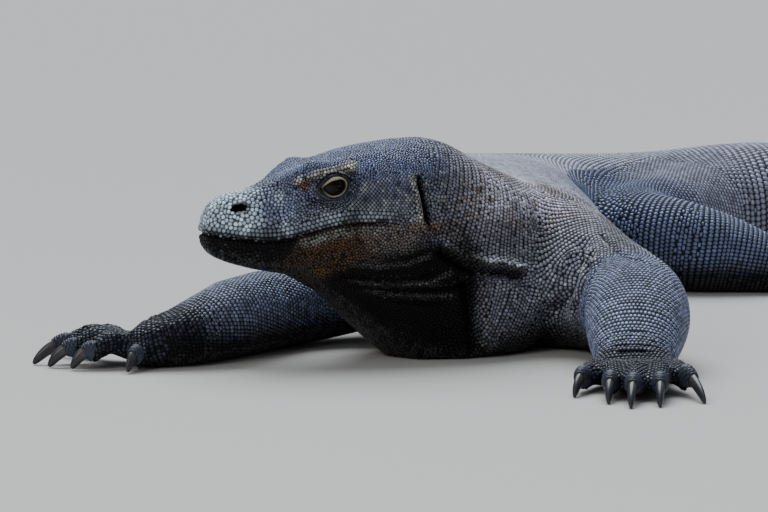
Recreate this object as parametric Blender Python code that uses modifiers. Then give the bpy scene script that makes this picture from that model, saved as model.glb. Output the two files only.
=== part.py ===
"""Komodo dragon at rest: a life-size display model of an adult, lying with its head raised and turned.

Units are metres, +Z up and the floor at z = 0. The animal lies belly down. Its chest faces -Y, its head
is turned to -X, its trunk runs back along +Y and bends to +X, and its tail trails along +X.
The flesh is modelled whole, from lofted lengths that are melted together, and then parted by thin cuts.
"""

import math

import bmesh
import bpy
from mathutils import Matrix, Vector
from mathutils.kdtree import KDTree

# ---------------------------------------------------------------- driving dimensions
GAP = 0.0004  # width of a parting cut, and of the space round an eye or a claw
BODY_VOXEL = 0.006
FINE_VOXEL = 0.0026
FLESH_TRIANGLES = 3480
DETAIL_HOLD = 0.07  # how strongly the head and toes keep their triangles when the flesh is thinned out
TOE_REACH = 0.032
FLOOR_SHAVE = 0.0012  # what the underside loses to leave flats
SLAB_SIZE = Vector((6, 5, 0.04))
SLAB_CENTRE = Vector((1, 0.5, FLOOR_SHAVE - SLAB_SIZE.z / 2))
EYE_RADIUS = 0.0115
AROUND = 28  # points round a lofted length

# The head's own frame: u runs forward from the ears, v to the animal's left, z up.
HEAD_YAW = math.radians(20)
HEAD_LOW = 0.080  # the flesh of the head lies above this height
EAR_POINT = Vector((0.0155, 0.040, 0.0))
FORWARD = Vector((-math.cos(HEAD_YAW), -math.sin(HEAD_YAW), 0))
LEFTWARD = Vector((math.sin(HEAD_YAW), -math.cos(HEAD_YAW), 0))
EYE_PLACE = (0.074, 0.0305, 0.1507)

# Head sections in millimetres: u, then the half outline from crown to chin as (v, z):
# crown, brow edge, upper side, cheek, lip, jaw side, jaw edge, chin.
HEAD_SECTIONS = (
    (179.5, (0, 124), (5, 124), (8, 121), (9, 117), (9, 111), (7, 107), (4, 103), (0, 102)),
    (177, (0, 132), (8, 131), (14, 126), (17, 118), (16, 109), (13, 102), (7, 97), (0, 96)),
    (170, (0, 141), (11, 140), (18, 131), (22, 119), (21, 108), (18, 99), (10, 92), (0, 91)),
    (158, (0, 145.5), (13, 144.5), (21, 134), (25.5, 121), (24.5, 106), (22, 96), (12, 87), (0, 86)),
    (144, (0, 148), (14, 147), (22, 137), (27, 122), (26, 105), (24, 93), (14, 83), (0, 81.5)),
    (128, (0, 152), (16, 151), (25, 140), (30, 122), (29, 104), (27, 91), (16, 79.5), (0, 78)),
    (118, (0, 155.5), (24, 159), (28, 144), (32, 122.5), (31.5, 104.5), (29, 90.5), (17.5, 78), (0, 76)),
    (112, (0, 157.5), (27, 166), (29.5, 146), (33, 123), (33, 105), (30, 90), (18, 77), (0, 75)),
    (106, (0, 160), (30, 171), (31.5, 148), (34.5, 124.5), (34.5, 106), (31.5, 90.5), (19, 76), (0, 73.5)),
    (98, (0, 164), (33, 174.5), (33, 150), (36.5, 126.5), (36.5, 107), (33.5, 91), (20.5, 75.5), (0, 71.5)),
    (89, (0, 168), (36, 176.5), (34.5, 154.5), (39.5, 129.5), (39.5, 109.5), (35.5, 92), (22.5, 74), (0, 69.5)),
    (80, (0, 172), (36, 172), (36.5, 155), (42, 131), (42, 111), (37.5, 92), (24, 73.5), (0, 67.5)),
    (70, (0, 178), (36, 173.5), (38, 156), (45, 133), (45, 113), (40, 93), (26, 73), (0, 65)),
    (50, (0, 185), (35, 179), (45, 160), (52, 136), (52, 116), (46, 94), (30, 71), (0, 61)),
    (27, (0, 189), (34, 181), (48, 163), (57, 138), (57, 117), (51, 94), (33, 69), (0, 56)),
    (4, (0, 192), (34, 184), (49, 166), (57, 140), (57, 117), (52, 93), (36, 66), (0, 50)),
    (-18, (0, 191), (34, 184), (48, 168), (54, 142), (54, 117), (52, 90), (37, 62), (0, 45)),
    (-40, (0, 182), (28, 177), (40, 162), (46, 140), (46, 116), (42, 92), (30, 70), (0, 56)),
)

# The axial body, from the nape to the tail's tip: x, y, half width, underside, top.
AXIAL_SECTIONS = (
    (-0.005, 0.033, 0.040, 0.080, 0.181),
    (0.028, 0.046, 0.054, 0.050, 0.191),
    (0.058, 0.068, 0.064, 0.018, 0.177),
    (0.084, 0.103, 0.080, -0.004, 0.157),
    (0.097, 0.145, 0.104, -0.010, 0.148),
    (0.098, 0.200, 0.118, -0.012, 0.146),
    (0.092, 0.300, 0.126, -0.012, 0.149),
    (0.088, 0.410, 0.128, -0.012, 0.151),
    (0.106, 0.535, 0.122, -0.012, 0.144),
    (0.170, 0.655, 0.108, -0.012, 0.136),
    (0.290, 0.735, 0.098, -0.010, 0.132),
    (0.420, 0.765, 0.094, -0.008, 0.142),
    (0.525, 0.790, 0.074, -0.004, 0.133),
    (0.630, 0.810, 0.059, -0.004, 0.117),
    (0.770, 0.826, 0.047, -0.004, 0.102),
    (0.950, 0.829, 0.037, -0.003, 0.087),
    (1.150, 0.795, 0.028, -0.003, 0.072),
    (1.350, 0.725, 0.020, -0.002, 0.057),
    (1.540, 0.635, 0.013, -0.002, 0.041),
    (1.710, 0.560, 0.008, -0.002, 0.025),
    (1.820, 0.522, 0.004, -0.001, 0.012),
)

# Throat pouch, from under the chin to the breast: centre, half width, half height.
THROAT_SECTIONS = (
    ((-0.092, 0.004, 0.089), 0.020, 0.012),
    ((-0.064, 0.012, 0.082), 0.031, 0.020),
    ((-0.038, 0.020, 0.069), 0.040, 0.031),
    ((-0.008, 0.030, 0.058), 0.048, 0.049),
    ((0.026, 0.042, 0.052), 0.057, 0.068),
    ((0.062, 0.064, 0.052), 0.072, 0.074),
    ((0.090, 0.106, 0.056), 0.088, 0.074),
)

# Limbs: centre, half width, half height, from the body outwards.
LIMBS = {
    "fore_left": (
        ((0.118, 0.160, 0.072), 0.064, 0.066),
        ((0.156, 0.112, 0.066), 0.060, 0.067),
        ((0.186, 0.060, 0.056), 0.049, 0.054),
        ((0.210, 0.006, 0.050), 0.044, 0.044),
        ((0.210, -0.046, 0.045), 0.045, 0.042),
        ((0.204, -0.092, 0.034), 0.040, 0.034),
        ((0.200, -0.124, 0.022), 0.034, 0.022),
        ((0.198, -0.150, 0.0155), 0.036, 0.0165),
    ),
    "fore_right": (
        ((0.060, 0.170, 0.076), 0.062, 0.056),
        ((0.014, 0.152, 0.062), 0.052, 0.046),
        ((-0.030, 0.132, 0.048), 0.044, 0.040),
        ((-0.076, 0.104, 0.036), 0.039, 0.035),
        ((-0.108, 0.060, 0.036), 0.037, 0.036),
        ((-0.134, 0.018, 0.034), 0.034, 0.034),
        ((-0.158, -0.014, 0.029), 0.031, 0.029),
        ((-0.181, -0.029, 0.024), 0.029, 0.024),
        ((-0.210, -0.028, 0.019), 0.033, 0.020),
    ),
    "hind_left": (
        ((0.400, 0.742, 0.072), 0.068, 0.060),
        ((0.345, 0.680, 0.066), 0.060, 0.060),
        ((0.302, 0.618, 0.060), 0.053, 0.056),
        ((0.262, 0.550, 0.053), 0.046, 0.054),
        ((0.312, 0.514, 0.049), 0.043, 0.049),
        ((0.362, 0.508, 0.041), 0.038, 0.041),
        ((0.408, 0.504, 0.030), 0.030, 0.030),
        ((0.446, 0.494, 0.021), 0.029, 0.021),
        ((0.482, 0.478, 0.015), 0.033, 0.016),
    ),
    "hind_right": (
        ((0.400, 0.790, 0.072), 0.068, 0.060),
        ((0.366, 0.864, 0.064), 0.060, 0.058),
        ((0.332, 0.930, 0.056), 0.053, 0.054),
        ((0.312, 0.990, 0.050), 0.045, 0.050),
        ((0.356, 1.020, 0.048), 0.043, 0.048),
        ((0.408, 1.028, 0.040), 0.038, 0.040),
        ((0.454, 1.034, 0.029), 0.030, 0.030),
        ((0.492, 1.046, 0.021), 0.029, 0.021),
        ((0.528, 1.064, 0.015), 0.033, 0.016),
    ),
}

# Digits, first to fifth: root, knuckle, end of the flesh, tip of the claw.
DIGITS = {
    "fore_left": (
        ((0.176, -0.138, 0.013), (0.163, -0.159, 0.017), (0.154, -0.177, 0.0125), (0.1465, -0.200, 0.001)),
        ((0.185, -0.150, 0.014), (0.178, -0.184, 0.020), (0.1735, -0.206, 0.013), (0.170, -0.232, 0.001)),
        ((0.197, -0.154, 0.014), (0.194, -0.191, 0.021), (0.190, -0.220, 0.0135), (0.185, -0.253, 0.001)),
        ((0.209, -0.152, 0.014), (0.213, -0.189, 0.021), (0.211, -0.216, 0.0135), (0.2075, -0.247, 0.001)),
        ((0.218, -0.140, 0.013), (0.228, -0.165, 0.019), (0.2345, -0.189, 0.0155), (0.2435, -0.230, 0.001)),
    ),
    "fore_right": (
        ((-0.188, -0.038, 0.015), (-0.198, -0.052, 0.019), (-0.204, -0.062, 0.013), (-0.210, -0.075, 0.001)),
        ((-0.206, -0.038, 0.017), (-0.227, -0.046, 0.025), (-0.242, -0.051, 0.0155), (-0.258, -0.056, 0.001)),
        ((-0.212, -0.030, 0.018), (-0.240, -0.032, 0.027), (-0.259, -0.035, 0.0165), (-0.279, -0.040, 0.001)),
        ((-0.214, -0.018, 0.018), (-0.246, -0.013, 0.027), (-0.269, -0.015, 0.0165), (-0.294, -0.024, 0.001)),
        ((-0.206, -0.008, 0.017), (-0.236, 0.007, 0.024), (-0.258, 0.016, 0.0165), (-0.286, 0.028, 0.001)),
    ),
    "hind_left": (
        ((0.466, 0.462, 0.013), (0.482, 0.443, 0.016), (0.491, 0.429, 0.012), (0.500, 0.411, 0.001)),
        ((0.480, 0.466, 0.013), (0.509, 0.435, 0.018), (0.524, 0.419, 0.013), (0.541, 0.399, 0.001)),
        ((0.490, 0.472, 0.013), (0.529, 0.446, 0.019), (0.549, 0.432, 0.014), (0.572, 0.416, 0.001)),
        ((0.494, 0.482, 0.013), (0.537, 0.466, 0.019), (0.562, 0.457, 0.014), (0.590, 0.447, 0.001)),
        ((0.486, 0.492, 0.013), (0.518, 0.494, 0.017), (0.537, 0.496, 0.012), (0.561, 0.498, 0.001)),
    ),
    "hind_right": (
        ((0.512, 1.076, 0.013), (0.526, 1.098, 0.016), (0.533, 1.113, 0.012), (0.541, 1.131, 0.001)),
        ((0.526, 1.076, 0.013), (0.552, 1.107, 0.018), (0.566, 1.124, 0.013), (0.582, 1.144, 0.001)),
        ((0.536, 1.071, 0.013), (0.573, 1.099, 0.019), (0.592, 1.114, 0.014), (0.614, 1.131, 0.001)),
        ((0.540, 1.061, 0.013), (0.582, 1.078, 0.019), (0.606, 1.088, 0.014), (0.633, 1.099, 0.001)),
        ((0.532, 1.050, 0.013), (0.564, 1.050, 0.017), (0.583, 1.049, 0.012), (0.607, 1.048, 0.001)),
    ),
}
DIGIT_RADII = (0.0105, 0.0092, 0.0080)
DIGIT_SOLE = 0.0130  # a toe reaches this far below its middle, or to the floor
CLAW_RADIUS = 0.0053
CLAW_ARCH = 0.0095  # how far a claw bows above a straight line
CLAW_SIDES = 6
CLAW_STEPS = 5
CRUMB = 1e-7  # a loose scrap smaller than this is dropped

# Materials: base colour, roughness.
COLOURS = {
    "head": ((0.140, 0.160, 0.200, 1), 0.50),
    "lower_jaw": ((0.050, 0.048, 0.050, 1), 0.50),
    "neck": ((0.130, 0.120, 0.115, 1), 0.55),
    "trunk": ((0.150, 0.128, 0.110, 1), 0.60),
    "tail": ((0.120, 0.108, 0.100, 1), 0.60),
    "arm": ((0.085, 0.098, 0.125, 1), 0.55),
    "leg": ((0.075, 0.085, 0.105, 1), 0.55),
    "foot": ((0.040, 0.044, 0.055, 1), 0.55),
    "claw": ((0.035, 0.032, 0.030, 1), 0.35),
    "eye": ((0.030, 0.020, 0.012, 1), 0.08),
}


# ---------------------------------------------------------------- scene and materials
def clear_scene():
    for obj in list(bpy.data.objects):
        bpy.data.objects.remove(obj)


def collection(name):
    made = bpy.data.collections.new(name)
    bpy.context.scene.collection.children.link(made)
    return made


def material(name, kind):
    colour, roughness = COLOURS[kind]
    made = bpy.data.materials.new(name)
    made.use_nodes = True
    shader = made.node_tree.nodes["Principled BSDF"]
    shader.inputs["Base Color"].default_value = colour
    shader.inputs["Roughness"].default_value = roughness
    shader.inputs["Metallic"].default_value = 0.0
    return made


# ---------------------------------------------------------------- geometry helpers
def head_point(u, v, z):
    """A point of the head's own frame, in the world."""
    return EAR_POINT + FORWARD * u + LEFTWARD * v + Vector((0, 0, z))


def smooth_between(values, t):
    """Catmull-Rom through a list of equal-length tuples, t from 0 to len - 1."""
    t = min(max(t, 0), len(values) - 1)
    i = min(int(t), len(values) - 2)
    f = t - i
    a, b, c, d = (values[max(0, min(len(values) - 1, i + k))] for k in (-1, 0, 1, 2))
    return [
        0.5 * (2 * q + (r - p) * f + (2 * p - 5 * q + 4 * r - s) * f * f + (3 * q - p - 3 * r + s) * f**3)
        for p, q, r, s in zip(a, b, c, d)
    ]


def lofted(name, rings):
    """A closed object through rings of points, each ring in the same turning direction."""
    bm = bmesh.new()
    loops = [[bm.verts.new(p) for p in ring] for ring in rings]
    count = len(loops[0])
    for low, high in zip(loops, loops[1:]):
        for i in range(count):
            bm.faces.new((low[i], low[(i + 1) % count], high[(i + 1) % count], high[i]))
    bm.faces.new(reversed(loops[0]))
    bm.faces.new(loops[-1])
    bmesh.ops.recalc_face_normals(bm, faces=bm.faces)
    return object_from(name, bm)


def object_from(name, bm):
    mesh = bpy.data.meshes.new(name)
    bm.to_mesh(mesh)
    bm.free()
    made = bpy.data.objects.new(name, mesh)
    bpy.context.scene.collection.objects.link(made)
    return made


def section_ring(centre, tangent, half_width, low, high, squareness):
    """A cross-section across a level tangent, with its own depth below and height above the centre."""
    side = Vector((tangent.y, -tangent.x, 0)).normalized()
    power = 2 / squareness
    ring = []
    for i in range(AROUND):
        angle = math.tau * i / AROUND
        c, s = math.cos(angle), math.sin(angle)
        across = math.copysign(abs(c) ** power, c) * half_width
        up = math.copysign(abs(s) ** power, s) * (high if s > 0 else low)
        ring.append(centre + side * across + Vector((0, 0, up)))
    return ring


def tube(name, stations, steps, squareness=2.2):
    """A smooth tube through stations (x, y, z, half width, depth below, height above)."""
    rings = []
    last = len(stations) - 1
    for k in range(last * steps + 1):
        t = k / steps
        x, y, z, half_width, low, high = smooth_between(stations, t)
        before = smooth_between(stations, t - 0.5)
        after = smooth_between(stations, t + 0.5)
        tangent = Vector(after[:2]) - Vector(before[:2])
        rings.append(
            section_ring(Vector((x, y, z)), tangent.to_3d(), half_width, low, high, squareness)
        )
    return lofted(name, rings)


def modified(obj, kind, **settings):
    modifier = obj.modifiers.new(kind.title(), kind)
    for key, value in settings.items():
        setattr(modifier, key, value)
    return obj


def baked(obj):
    """The object with its modifiers made part of its mesh."""
    graph = bpy.context.evaluated_depsgraph_get()
    mesh = bpy.data.meshes.new_from_object(obj.evaluated_get(graph))
    obj.modifiers.clear()
    obj.data = mesh
    return obj


def melted(name, pieces, voxel, smoothing):
    """One closed skin round overlapping pieces, smoothed so that their joins melt together."""
    bm = bmesh.new()
    for piece in pieces:
        bm.from_mesh(piece.data)
        bpy.data.objects.remove(piece)
    whole = object_from(name, bm)
    modified(whole, "REMESH", mode="VOXEL", voxel_size=voxel)
    modified(whole, "SMOOTH", factor=0.5, iterations=smoothing)
    return baked(whole)


# ---------------------------------------------------------------- the flesh
def head():
    """The head, lofted through its sections and rounded by subdivision."""
    rings = []
    for u, *half in HEAD_SECTIONS:
        left = [head_point(u / 1000, v / 1000, z / 1000) for v, z in half]
        right = [head_point(u / 1000, -v / 1000, z / 1000) for v, z in half[-2:0:-1]]
        rings.append(left + right)
    made = lofted("head_form", rings)
    modified(made, "SUBSURF", levels=2, render_levels=2)
    return baked(made)


def axial_body():
    stations = [
        (x, y, low + (high - low) * 0.45, half, (high - low) * 0.45, (high - low) * 0.55)
        for x, y, half, low, high in AXIAL_SECTIONS
    ]
    return tube("axial_form", stations, 6, squareness=2.3)


def limb(key):
    stations = [(*centre, wide, high, high) for centre, wide, high in LIMBS[key]]
    return tube(key + "_form", stations, 5)


def digit(points):
    """A toe from its root over the knuckle to the end of its flesh."""
    stations = [(*p, r, min(p[2], DIGIT_SOLE), r) for p, r in zip(points[:3], DIGIT_RADII)]
    return tube("digit_form", stations, 4, squareness=2.0)


def claw_ring(centre, direction, radius):
    side = Vector((direction.y, -direction.x, 0)).normalized()
    over = side.cross(direction).normalized()
    return [
        centre
        + side * (0.8 * radius * math.cos(math.tau * i / CLAW_SIDES))
        + over * (1.15 * radius * math.sin(math.tau * i / CLAW_SIDES))
        for i in range(CLAW_SIDES)
    ]


def claw(name, points, grow=0.0):
    """A curved horn claw from inside the toe's end down to its tip. It is larger by grow all round."""
    _, knuckle, end, tip = (Vector(p) for p in points)
    start = end + (knuckle - end).normalized() * 0.003
    arch = (end + tip) / 2 + Vector((0, 0, CLAW_ARCH))
    rings = []
    for k in range(CLAW_STEPS + 1):
        t = 1 - (1 - k / CLAW_STEPS) ** 1.3
        centre = start * (1 - t) ** 2 + arch * 2 * t * (1 - t) + tip * t * t
        direction = (arch - start) * (1 - t) + (tip - arch) * t
        taper = CLAW_RADIUS * (1 - 0.42 * t**1.4) * math.sqrt(1 - 0.85 * t**6) + grow
        if grow and k in (0, CLAW_STEPS):
            centre = centre + direction.normalized() * (grow if k else -grow)
        rings.append(claw_ring(centre, direction, taper))
    for ring in rings:
        for p in ring:
            p.z = max(p.z, 0.0 if grow else 0.0003)
    return lofted(name, rings)


def eyeball(name, side, grow=0.0):
    u, v, z = EYE_PLACE
    bm = bmesh.new()
    bmesh.ops.create_uvsphere(bm, u_segments=10, v_segments=8, radius=EYE_RADIUS + grow)
    bmesh.ops.translate(bm, verts=bm.verts, vec=head_point(u, v * side, z))
    return object_from(name, bm)


def pressed(obj):
    """Brings whatever sags below the floor up to it."""
    for vertex in obj.data.vertices:
        vertex.co.z = max(vertex.co.z, 0.0)
    return obj


def shaved(obj):
    """Takes a thin slice off the underside and lowers the rest by it, which leaves level flats to rest on."""
    bm = bmesh.new()
    bmesh.ops.create_cube(bm, size=1, matrix=Matrix.LocRotScale(SLAB_CENTRE, None, SLAB_SIZE))
    slab = object_from("floor_slab", bm)
    shelve(slab)
    modified(obj, "BOOLEAN", object=slab, operation="DIFFERENCE", solver="EXACT")
    baked(obj).data.transform(Matrix.Translation((0, 0, -FLOOR_SHAVE)))
    return pressed(obj)


def flesh():
    """The whole animal without its eyes and claws, in one closed mesh."""
    throat = tube("throat_form", [(*c, w, h, h) for c, w, h in THROAT_SECTIONS], 5)
    body = melted(
        "body_form", [axial_body(), throat, *(limb(key) for key in LIMBS)], BODY_VOXEL, 10
    )
    digits = [
        digit(points) for key, feet in DIGITS.items() for points in feet
    ]
    whole = pressed(melted("flesh", [body, head(), *digits], FINE_VOXEL, 5))
    group = whole.vertex_groups.new(name="plain")
    group.add(range(len(whole.data.vertices)), 0.5, "REPLACE")
    group.add(plain_vertices(whole), 1.0, "REPLACE")
    modified(
        whole,
        "DECIMATE",
        ratio=FLESH_TRIANGLES / (2 * len(whole.data.polygons)),
        vertex_group="plain",
        vertex_group_factor=DETAIL_HOLD,
        use_collapse_triangulate=True,
    )
    baked(whole)
    whole.vertex_groups.clear()
    return shaved(whole)


def plain_vertices(whole):
    """The vertices away from the head and the toes."""
    toes = KDTree(sum(len(feet) for feet in DIGITS.values()))
    for i, points in enumerate(points for feet in DIGITS.values() for points in feet):
        toes.insert((Vector(points[1]) + Vector(points[2])) / 2, i)
    toes.balance()
    neck = head_point(-0.02, 0, 0)
    return [
        vertex.index
        for vertex in whole.data.vertices
        if toes.find(vertex.co)[2] > TOE_REACH
        and not (vertex.co - neck).dot(FORWARD) > 0 < vertex.co.z - HEAD_LOW
    ]


# ---------------------------------------------------------------- parting cuts
# Upright walls that part each limb from the body, as points in plan from the rear crease to the front one.
LIMB_WALLS = {
    "fore_left": (
        (0.255, 0.198), (0.205, 0.168), (0.165, 0.135), (0.143, 0.095), (0.140, 0.050), (0.128, 0.010),
    ),
    "fore_right": (
        (-0.055, 0.232), (-0.012, 0.178), (0.006, 0.130), (0.002, 0.098), (-0.034, 0.075),
    ),
    "hind_left": (
        (0.445, 0.645), (0.400, 0.676), (0.345, 0.670), (0.280, 0.628), (0.234, 0.576),
        (0.224, 0.532), (0.236, 0.485),
    ),
    "hind_right": (
        (0.480, 0.900), (0.430, 0.862), (0.370, 0.848), (0.310, 0.852), (0.255, 0.885),
    ),
}
# Cuts along each limb: station, half width of the sheet, and its turn from square in degrees.
LIMB_CUTS = {
    "fore_left": ((2.95, 0.080, 0), (5.7, 0.060, 0)),
    "fore_right": ((3.3, 0.065, 0), (6.6, 0.055, 0)),
    "hind_left": ((3.0, 0.120, 13), (6.2, 0.050, 0)),
    "hind_right": ((3.0, 0.110, 10), (6.2, 0.050, 0)),
}
# Cuts across the axial body: station, half width of the sheet.
AXIAL_CUTS = ((3.9, 0.20), (8.2, 0.20), (9.8, 0.20), (11.8, 0.15), (13.8, 0.10), (15.6, 0.08), (17.4, 0.06))
# The cut behind the head and the line of the closed mouth, as (u, z) in the head's frame.
HEAD_CUT = ((-0.026, 0.260), (-0.008, 0.125), (-0.004, 0.100), (0.010, 0.075), (0.026, 0.000))
MOUTH_CUT = (
    (0.200, 0.1095), (0.158, 0.1068), (0.128, 0.1045), (0.100, 0.1065),
    (0.064, 0.1142), (0.030, 0.1174), (-0.020, 0.1165),
)
HEAD_CUT_HALF_WIDTH = 0.09
WALL_HEIGHTS = (-0.05, 0.26)

# The pieces that the cuts leave, with a point near the middle of each.
AXIAL_NAMES = {
    "neck": (0.050, 0.070, 0.090),
    "trunk": (0.090, 0.330, 0.070),
    "lumbar": (0.150, 0.620, 0.065),
    "pelvis": (0.380, 0.755, 0.065),
    "tail_base": (0.620, 0.808, 0.055),
    "tail_middle": (0.900, 0.828, 0.040),
    "tail_end": (1.230, 0.770, 0.030),
    "tail_tip": (1.580, 0.620, 0.018),
}
LIMB_NAMES = {
    "fore_left": ("upper_arm_left", "forearm_left", "hand_left"),
    "fore_right": ("upper_arm_right", "forearm_right", "hand_right"),
    "hind_left": ("thigh_left", "shank_left", "foot_left"),
    "hind_right": ("thigh_right", "shank_right", "foot_right"),
}
KINDS = (
    ("tail", "tail"), ("claw", "claw"), ("eye", "eye"), ("hand", "foot"), ("foot", "foot"),
    ("upper_arm", "arm"), ("forearm", "arm"), ("thigh", "leg"), ("shank", "leg"),
    ("head", "head"), ("lower_jaw", "lower_jaw"), ("neck", "neck"),
)


def sheet(name, lines):
    """A thin cutting sheet through rows of points, GAP thick."""
    bm = bmesh.new()
    rows = [[bm.verts.new(p) for p in row] for row in lines]
    for low, high in zip(rows, rows[1:]):
        for i in range(len(low) - 1):
            bm.faces.new((low[i], low[i + 1], high[i + 1], high[i]))
    made = object_from(name, bm)
    modified(made, "SOLIDIFY", thickness=GAP, offset=0)
    return baked(made)


def wall(name, plan):
    """An upright sheet along points in plan."""
    return sheet(name, [[(x, y, z) for z in WALL_HEIGHTS] for x, y in plan])


def wall_across(name, plan, t, half_width, turn=0.0):
    """An upright sheet square to a path in plan, at t along it, and turned by some degrees."""
    here = Vector(smooth_between(plan, t))
    way = Vector(smooth_between(plan, t + 0.05)) - Vector(smooth_between(plan, t - 0.05))
    side = Matrix.Rotation(math.radians(90 + turn), 2) @ way.normalized() * half_width
    return wall(name, (here - side, here + side))


def head_sheet(name, line):
    """A sheet straight through the head from side to side, along a line of its own (u, z) frame."""
    reach = (-HEAD_CUT_HALF_WIDTH, HEAD_CUT_HALF_WIDTH)
    return sheet(name, [[head_point(u, v, z) for v in reach] for u, z in line])


def cut(obj, cutters, name):
    """The loose pieces left when a set of separate cutters is taken from an object."""
    bm = bmesh.new()
    for cutter in cutters:
        bm.from_mesh(cutter.data)
        bpy.data.objects.remove(cutter)
    tool = object_from(name, bm)
    modified(obj, "BOOLEAN", operation="DIFFERENCE", solver="EXACT", object=tool)
    baked(obj)
    shelve(tool)
    return loose_pieces(obj)


def shelve(tool):
    """Keeps a used cutter in a collection of its own, out of the render."""
    for home in list(tool.users_collection):
        home.objects.unlink(tool)
    bpy.data.collections["cutters"].objects.link(tool)
    tool.hide_render = True
    tool.display_type = "WIRE"


def loose_pieces(obj):
    """Splits an object into one object for each connected body, and removes the original."""
    bm = bmesh.new()
    bm.from_mesh(obj.data)
    waiting = set(bm.verts)
    pieces = []
    while waiting:
        group = {waiting.pop()}
        edge = list(group)
        while edge:
            vertex = edge.pop()
            for link in vertex.link_edges:
                other = link.other_vert(vertex)
                if other in waiting:
                    waiting.remove(other)
                    group.add(other)
                    edge.append(other)
        piece = bm.copy()
        keep = {vertex.index for vertex in group}
        piece.verts.ensure_lookup_table()
        bmesh.ops.delete(piece, geom=[v for v in piece.verts if v.index not in keep], context="VERTS")
        if piece.calc_volume() > CRUMB:
            pieces.append(object_from(obj.name, piece))
    bm.free()
    bpy.data.objects.remove(obj)
    return pieces


def middle(obj):
    corners = [Vector(c) for c in obj.bound_box]
    return sum(corners, Vector()) / len(corners)


def named(pieces, places):
    """Gives each piece the name of the place nearest to it, and says if the cuts left another number."""
    if len(pieces) != len(places):
        raise ValueError(f"{sorted(places)} were cut into {len(pieces)} pieces")
    found = {}
    for name, place in places.items():
        nearest = min(pieces, key=lambda piece: (middle(piece) - Vector(place)).length)
        pieces.remove(nearest)
        nearest.name = name
        found[name] = nearest
    return found


def limb_places(key):
    """A point near the middle of each length of a limb, from its stations and its cuts."""
    centres = [centre for centre, _, _ in LIMBS[key]]
    first, second = (t for t, _, _ in LIMB_CUTS[key])
    spans = ((1.0 + first) / 2, (first + second) / 2, len(centres) - 1)
    return {
        name: smooth_between(centres, t) for name, t in zip(LIMB_NAMES[key], spans)
    }


def parted(whole):
    """Parts the flesh into its named pieces."""
    pockets = [
        claw("pocket", points, GAP) for key, feet in DIGITS.items() for points in feet
    ]
    pockets += [eyeball("pocket", side, GAP) for side in (1, -1)]
    (whole,) = cut(whole, pockets, "pocket_cutters")
    roots = {key: limb_places(key)[LIMB_NAMES[key][0]] for key in LIMBS}
    walls = [wall(f"{key}_wall", plan) for key, plan in LIMB_WALLS.items()]
    bodies = named(cut(whole, walls, "limb_cutters"), {"axial": (1.0, 0.5, 0.08), **roots})
    found = {}
    for key in LIMBS:
        plan = [centre[:2] for centre, _, _ in LIMBS[key]]
        sheets = [
            wall_across(f"{key}_sheet", plan, t, half_width, turn)
            for t, half_width, turn in LIMB_CUTS[key]
        ]
        found |= named(cut(bodies[key], sheets, f"{key}_cutters"), limb_places(key))
    plan = [(x, y) for x, y, *_ in AXIAL_SECTIONS]
    sheets = [wall_across("axial_sheet", plan, t, half_width) for t, half_width in AXIAL_CUTS]
    sheets.append(head_sheet("head_sheet", HEAD_CUT))
    face = head_point(0.080, 0, 0.120)
    lengths = named(cut(bodies["axial"], sheets, "axial_cutters"), {"face": face, **AXIAL_NAMES})
    mouth = cut(lengths.pop("face"), [head_sheet("mouth_sheet", MOUTH_CUT)], "mouth_cutter")
    jaws = {"head": head_point(0.07, 0, 0.145), "lower_jaw": head_point(0.08, 0, 0.09)}
    return found | lengths | named(mouth, jaws)


def horn_and_eyes():
    """The twenty claws and the two eyes."""
    found = {}
    for key, feet in DIGITS.items():
        for number, points in enumerate(feet, 1):
            name = f"claw_{key}_{number}"
            found[name] = claw(name, points)
    for name, side in (("eye_left", 1), ("eye_right", -1)):
        found[name] = eyeball(name, side)
    return found


def finished(parts):
    """Moves the model so that the middle of its box stands on the origin, and finishes each object."""
    corners = [Vector(c) for part in parts.values() for c in part.bound_box]
    low, high = (Vector(pick(c[k] for c in corners) for k in range(3)) for pick in (min, max))
    base = Vector(((low.x + high.x) / 2, (low.y + high.y) / 2, low.z))
    root = bpy.data.objects.new("komodo_dragon", None)
    home = collection("komodo_dragon")
    home.objects.link(root)
    for name, part in parts.items():
        centre = middle(part)
        part.data.transform(Matrix.Translation(-centre))
        part.location = centre - base
        part.parent = root
        part.name = part.data.name = name
        kind = next((kind for start, kind in KINDS if name.startswith(start)), "trunk")
        part.data.materials.clear()
        part.data.materials.append(material(name, kind))
        part.data.shade_smooth()
        part.data.set_sharp_from_angle(angle=math.radians(50))
        for other in list(part.users_collection):
            other.objects.unlink(part)
        home.objects.link(part)


def main():
    clear_scene()
    collection("cutters")
    finished(parted(flesh()) | horn_and_eyes())


main()
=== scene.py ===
"""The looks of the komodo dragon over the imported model: skin, scales, lids, claws, eyes, stage and camera."""

import math

import bmesh
import bpy
import numpy as np
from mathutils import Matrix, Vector, noise
from mathutils.bvhtree import BVHTree
from mathutils.kdtree import KDTree


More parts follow.
